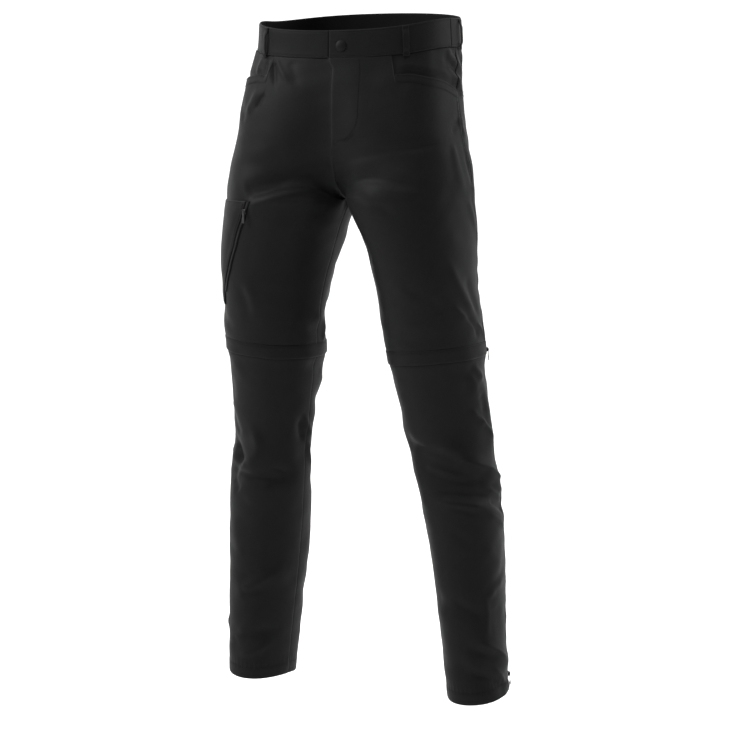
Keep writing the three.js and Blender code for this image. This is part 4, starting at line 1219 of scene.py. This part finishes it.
# Along, half width, half thickness and squareness of the tab and of the ankle tabs' pale tip
TAB = [
    (0.9, 1.5, 0.5, 0.5), (1.4, 1.6, 0.5, 0.5), (6.5, 1.6, 0.5, 0.5), (9.4, 2.1, 0.55, 0.45),
    (10.2, 2.2, 0.95, 0.45), (11.0, 2.2, 0.7, 0.45), (11.8, 2.2, 0.95, 0.45), (12.6, 2.2, 0.7, 0.45),
    (13.4, 2.2, 0.95, 0.45), (14.2, 2.2, 0.75, 0.45), (15.4, 2.1, 0.9, 0.45), (16.6, 1.7, 0.7, 0.5),
    (17.0, 1.1, 0.4, 0.6),
]
TAB_TIP = [
    (12.2, 2.3, 1.05, 0.5), (12.8, 2.4, 1.1, 0.5), (15.6, 2.35, 1.1, 0.5), (16.9, 1.9, 0.9, 0.6),
    (17.3, 1.1, 0.5, 0.7),
]
# Along, half width, thickness and squareness of the slider, from its base up
BASE = -3.1
SLIDER = [
    (-4.0, 2.0, 1.0, 0.55), (-3.4, 3.0, 1.35, 0.5), (-1.5, 3.8, 1.5, 0.5), (1.2, 3.7, 1.5, 0.5),
    (3.2, 3.1, 1.4, 0.5), (4.0, 2.3, 1.0, 0.55),
]
# Along, low and high of the cheeks that carry the pin
CHEEK = [
    (-3.0, BASE + 1.2, BASE + 2.2), (-1.8, BASE + 1.2, 0.9), (0, BASE + 1.2, 1.3), (1.8, BASE + 1.2, 0.9),
    (3.0, BASE + 1.2, BASE + 2.2),
]


def lofted(name, sections, material, body, levels=1):
    """A closed body through rings of equal point count."""
    count, rings = len(sections[0]), len(sections)
    faces = ring_faces(count, rings)
    faces += [tuple(range(count))[::-1], tuple(range((rings - 1) * count, rings * count))]
    made = make_object(name, np.array([p for ring in sections for p in ring]), faces, [material], body)
    if levels:
        modifier = made.modifiers.new("round", "SUBSURF")
        modifier.levels = modifier.render_levels = levels
    return made


def solid_points(node):
    return np.array([v.co[:] for v in frame["nodes"][node].data.vertices]) / MM


def dress_pull(word, tip):
    """Slider with rounded body and bridge, and its moulded tab, on the solids' own axes."""
    joint = next(j for j in frame["joints"] if j["child"] == f"{word}_pull_body")
    head, axis = np.array(joint["pos_m"]) / MM, np.array(joint["axis"])
    down = solid_points(f"{word}_pull").mean(0) - head
    down = unit(down - axis * (down @ axis))
    out = np.cross(axis, down)
    if out @ (solid_points(f"{word}_slider").mean(0) - head) > 0:
        out = -out

    def at(along, wide, tall):
        return head + down * along + axis * wide + out * tall

    def slab(stations, steps=12):
        rings = []
        for along, half, low, high, square in stations:
            ring = []
            for k in range(steps):
                angle = 2 * math.pi * (k + 0.5) / steps
                c, s = math.cos(angle), math.sin(angle)
                c, s = math.copysign(abs(c) ** square, c), math.copysign(abs(s) ** square, s)
                ring.append(at(along, half * c, (low + high) / 2 + (high - low) / 2 * s))
            rings.append(ring)
        return rings

    def even_slab(stations):
        return slab([(along, half, -tall, tall, square) for along, half, tall, square in stations])

    eye = []
    for angle in (math.pi * (0.12 + 1.76 * k / 16) for k in range(17)):
        c, s = math.cos(angle), math.sin(angle)
        turns = [2 * math.pi * i / 8 for i in range(8)]
        reaches = [0.78 + 0.3 * math.cos(turn) for turn in turns]
        eye.append([at(reach * c, 1.5 * math.sin(turn), reach * s) for turn, reach in zip(turns, reaches)])
    body, slot = f"{word}_pull_body", "zip_pull"
    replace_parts(lofted(f"{word}_tab", even_slab(TAB), PLASTIC, body), f"{word}_pull")
    lofted(f"{word}_tab_eye", eye, METAL, body, 0)
    if tip:
        lofted(f"{word}_tab_tip", even_slab(TAB_TIP), tip, body)

    body, slot = "garment", "zip_slider"
    stations = [(along, half, BASE, BASE + tall, square) for along, half, tall, square in SLIDER]
    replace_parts(lofted(f"{word}_slider_body", slab(stations), METAL, body), f"{word}_slider")
    for letter, middle in (("a", -3.15), ("b", 3.15)):
        half = 0.62
        cheek = [
            [at(along, middle - half, low), at(along, middle + half, low),
             at(along, middle + half * 0.8, high), at(along, middle - half * 0.8, high)]
            for along, low, high in CHEEK
        ]
        lofted(f"{word}_slider_cheek_{letter}", cheek, METAL, body)
    around = np.linspace(0, 2 * math.pi, 9)[:-1]
    pin = [
        [at(0.42 * math.cos(t), wide, 0.42 * math.sin(t)) for t in around] for wide in (-3.1, -2.2, 2.2, 3.1)
    ]
    lofted(f"{word}_slider_pin", pin, METAL, body, 0)


for word in ("thigh_zip", "knee_zip_left", "knee_zip_right", "ankle_zip_left", "ankle_zip_right"):
    dress_pull(word, TIP if word.startswith("ankle") else None)


# Press stud: reach and height of its domed cap's rings

STUD_CAP = [
    (8.6, 0.0), (8.8, 0.6), (8.5, 1.3), (7.6, 2.0), (6.2, 2.6), (4.6, 3.05), (2.8, 3.35), (1.2, 3.5),
    (0.4, 3.52),
]
STUD_STEPS = 48
spot, normal = (found[0] for found in band_at([24.0], [0.036]))
across = unit(np.cross([0, 0, 1], normal))
up = np.cross(normal, across)
angles = [2 * math.pi * k / STUD_STEPS for k in range(STUD_STEPS)]
rings = [
    [spot + normal * (1.4 + tall) + (across * math.cos(t) + up * math.sin(t)) * reach for t in angles]
    for reach, tall in STUD_CAP
]
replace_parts(lofted("stud_cap", rings, STUD, "garment", 0), "press_stud")


# Floor, light and camera

FLOOR, FLOOR_REACH = -1.12, 14
ROOM, COVE, CEILING = 0.22, 1.3, 1.9
CAMERA_TURN, CAMERA_AWAY, CAMERA_HEIGHT = math.radians(25), 3.4, -0.12
SENSOR, PIXEL, FRAME_WIDTH = 36.0, 0.001535, 735
MIDDLE = (0, 0.027, -0.531)
AIM = Vector(MIDDLE)

g = Graph("pale_floor")
g.link(g.mix(g.noise(g.place(), 3.0, 2.0), grey(0.83), grey(0.86)), "Base Color")
g.set(Roughness=0.9, Specular_IOR_Level=0.1)
around = np.linspace(0, 2 * math.pi, 65)[:-1]
rim = [(FLOOR_REACH * math.cos(t), FLOOR_REACH * math.sin(t), FLOOR) for t in around]
floor_mesh = bpy.data.meshes.new("floor")
floor_mesh.from_pydata(rim, [], [tuple(range(64))])
floor_mesh.materials.append(g.material)
floor = bpy.data.objects.new("floor", floor_mesh)
bpy.context.scene.collection.objects.link(floor)

# A white cove behind the garment and a white ceiling; the room in front of it is darker
world = bpy.data.worlds.new("studio")
bpy.context.scene.world = world
world.use_nodes = True
tree = world.node_tree


def ramp(value, start, end, low, high):
    inputs = {"Value": value, "From Min": start, "From Max": end, "To Min": low, "To Max": high}
    return add_node(tree, "ShaderNodeMapRange", inputs, interpolation_type="SMOOTHSTEP").outputs[0]


ahead = (-math.sin(CAMERA_TURN), math.cos(CAMERA_TURN), 0.0)
sky = add_node(tree, "ShaderNodeTexCoord").outputs["Generated"]
behind = add_node(tree, "ShaderNodeVectorMath", {0: sky, 1: ahead}, operation="DOT_PRODUCT").outputs["Value"]
height = add_node(tree, "ShaderNodeSeparateXYZ", {0: sky}).outputs["Z"]
cove, ceiling = ramp(behind, 0.25, 0.75, ROOM, COVE), ramp(height, 0.4, 0.8, 0.0, CEILING)
strength = add_node(tree, "ShaderNodeMath", {0: cove, 1: ceiling}, operation="ADD").outputs[0]
tree.links.new(strength, tree.nodes["Background"].inputs[1])
tree.nodes["Background"].inputs[0].default_value = (1, 1, 1, 1)


def softbox(name, place, size, power):
    data = bpy.data.lights.new(name, "AREA")
    data.shape = "RECTANGLE"
    data.size, data.size_y = size
    data.energy = power
    lamp = bpy.data.objects.new(name, data)
    lamp.location = place
    lamp.rotation_euler = (AIM - Vector(place)).to_track_quat("-Z", "Y").to_euler()
    lamp.visible_camera = False
    bpy.context.scene.collection.objects.link(lamp)


softbox("key", (-2.5, -1.5, 1.4), (0.9, 1.6), 120)
softbox("rim", (2.3, 1.6, 0.5), (0.6, 1.8), 40)
softbox("rim_left", (-2.6, 0.9, 0.3), (0.7, 2.0), 12)

camera_data = bpy.data.cameras.new("camera")
camera_data.sensor_width = SENSOR
camera_data.lens = SENSOR * (CAMERA_AWAY / PIXEL) / FRAME_WIDTH
camera_data.clip_end = 60
camera = bpy.data.objects.new("camera", camera_data)
beside, before = math.sin(CAMERA_TURN) * CAMERA_AWAY, -math.cos(CAMERA_TURN) * CAMERA_AWAY
camera.location = (beside, before + MIDDLE[1], CAMERA_HEIGHT)
camera.rotation_euler = (AIM - camera.location).to_track_quat("-Z", "Y").to_euler()
bpy.context.scene.collection.objects.link(camera)
bpy.context.scene.camera = camera
bpy.context.scene.view_settings.view_transform = "Standard"
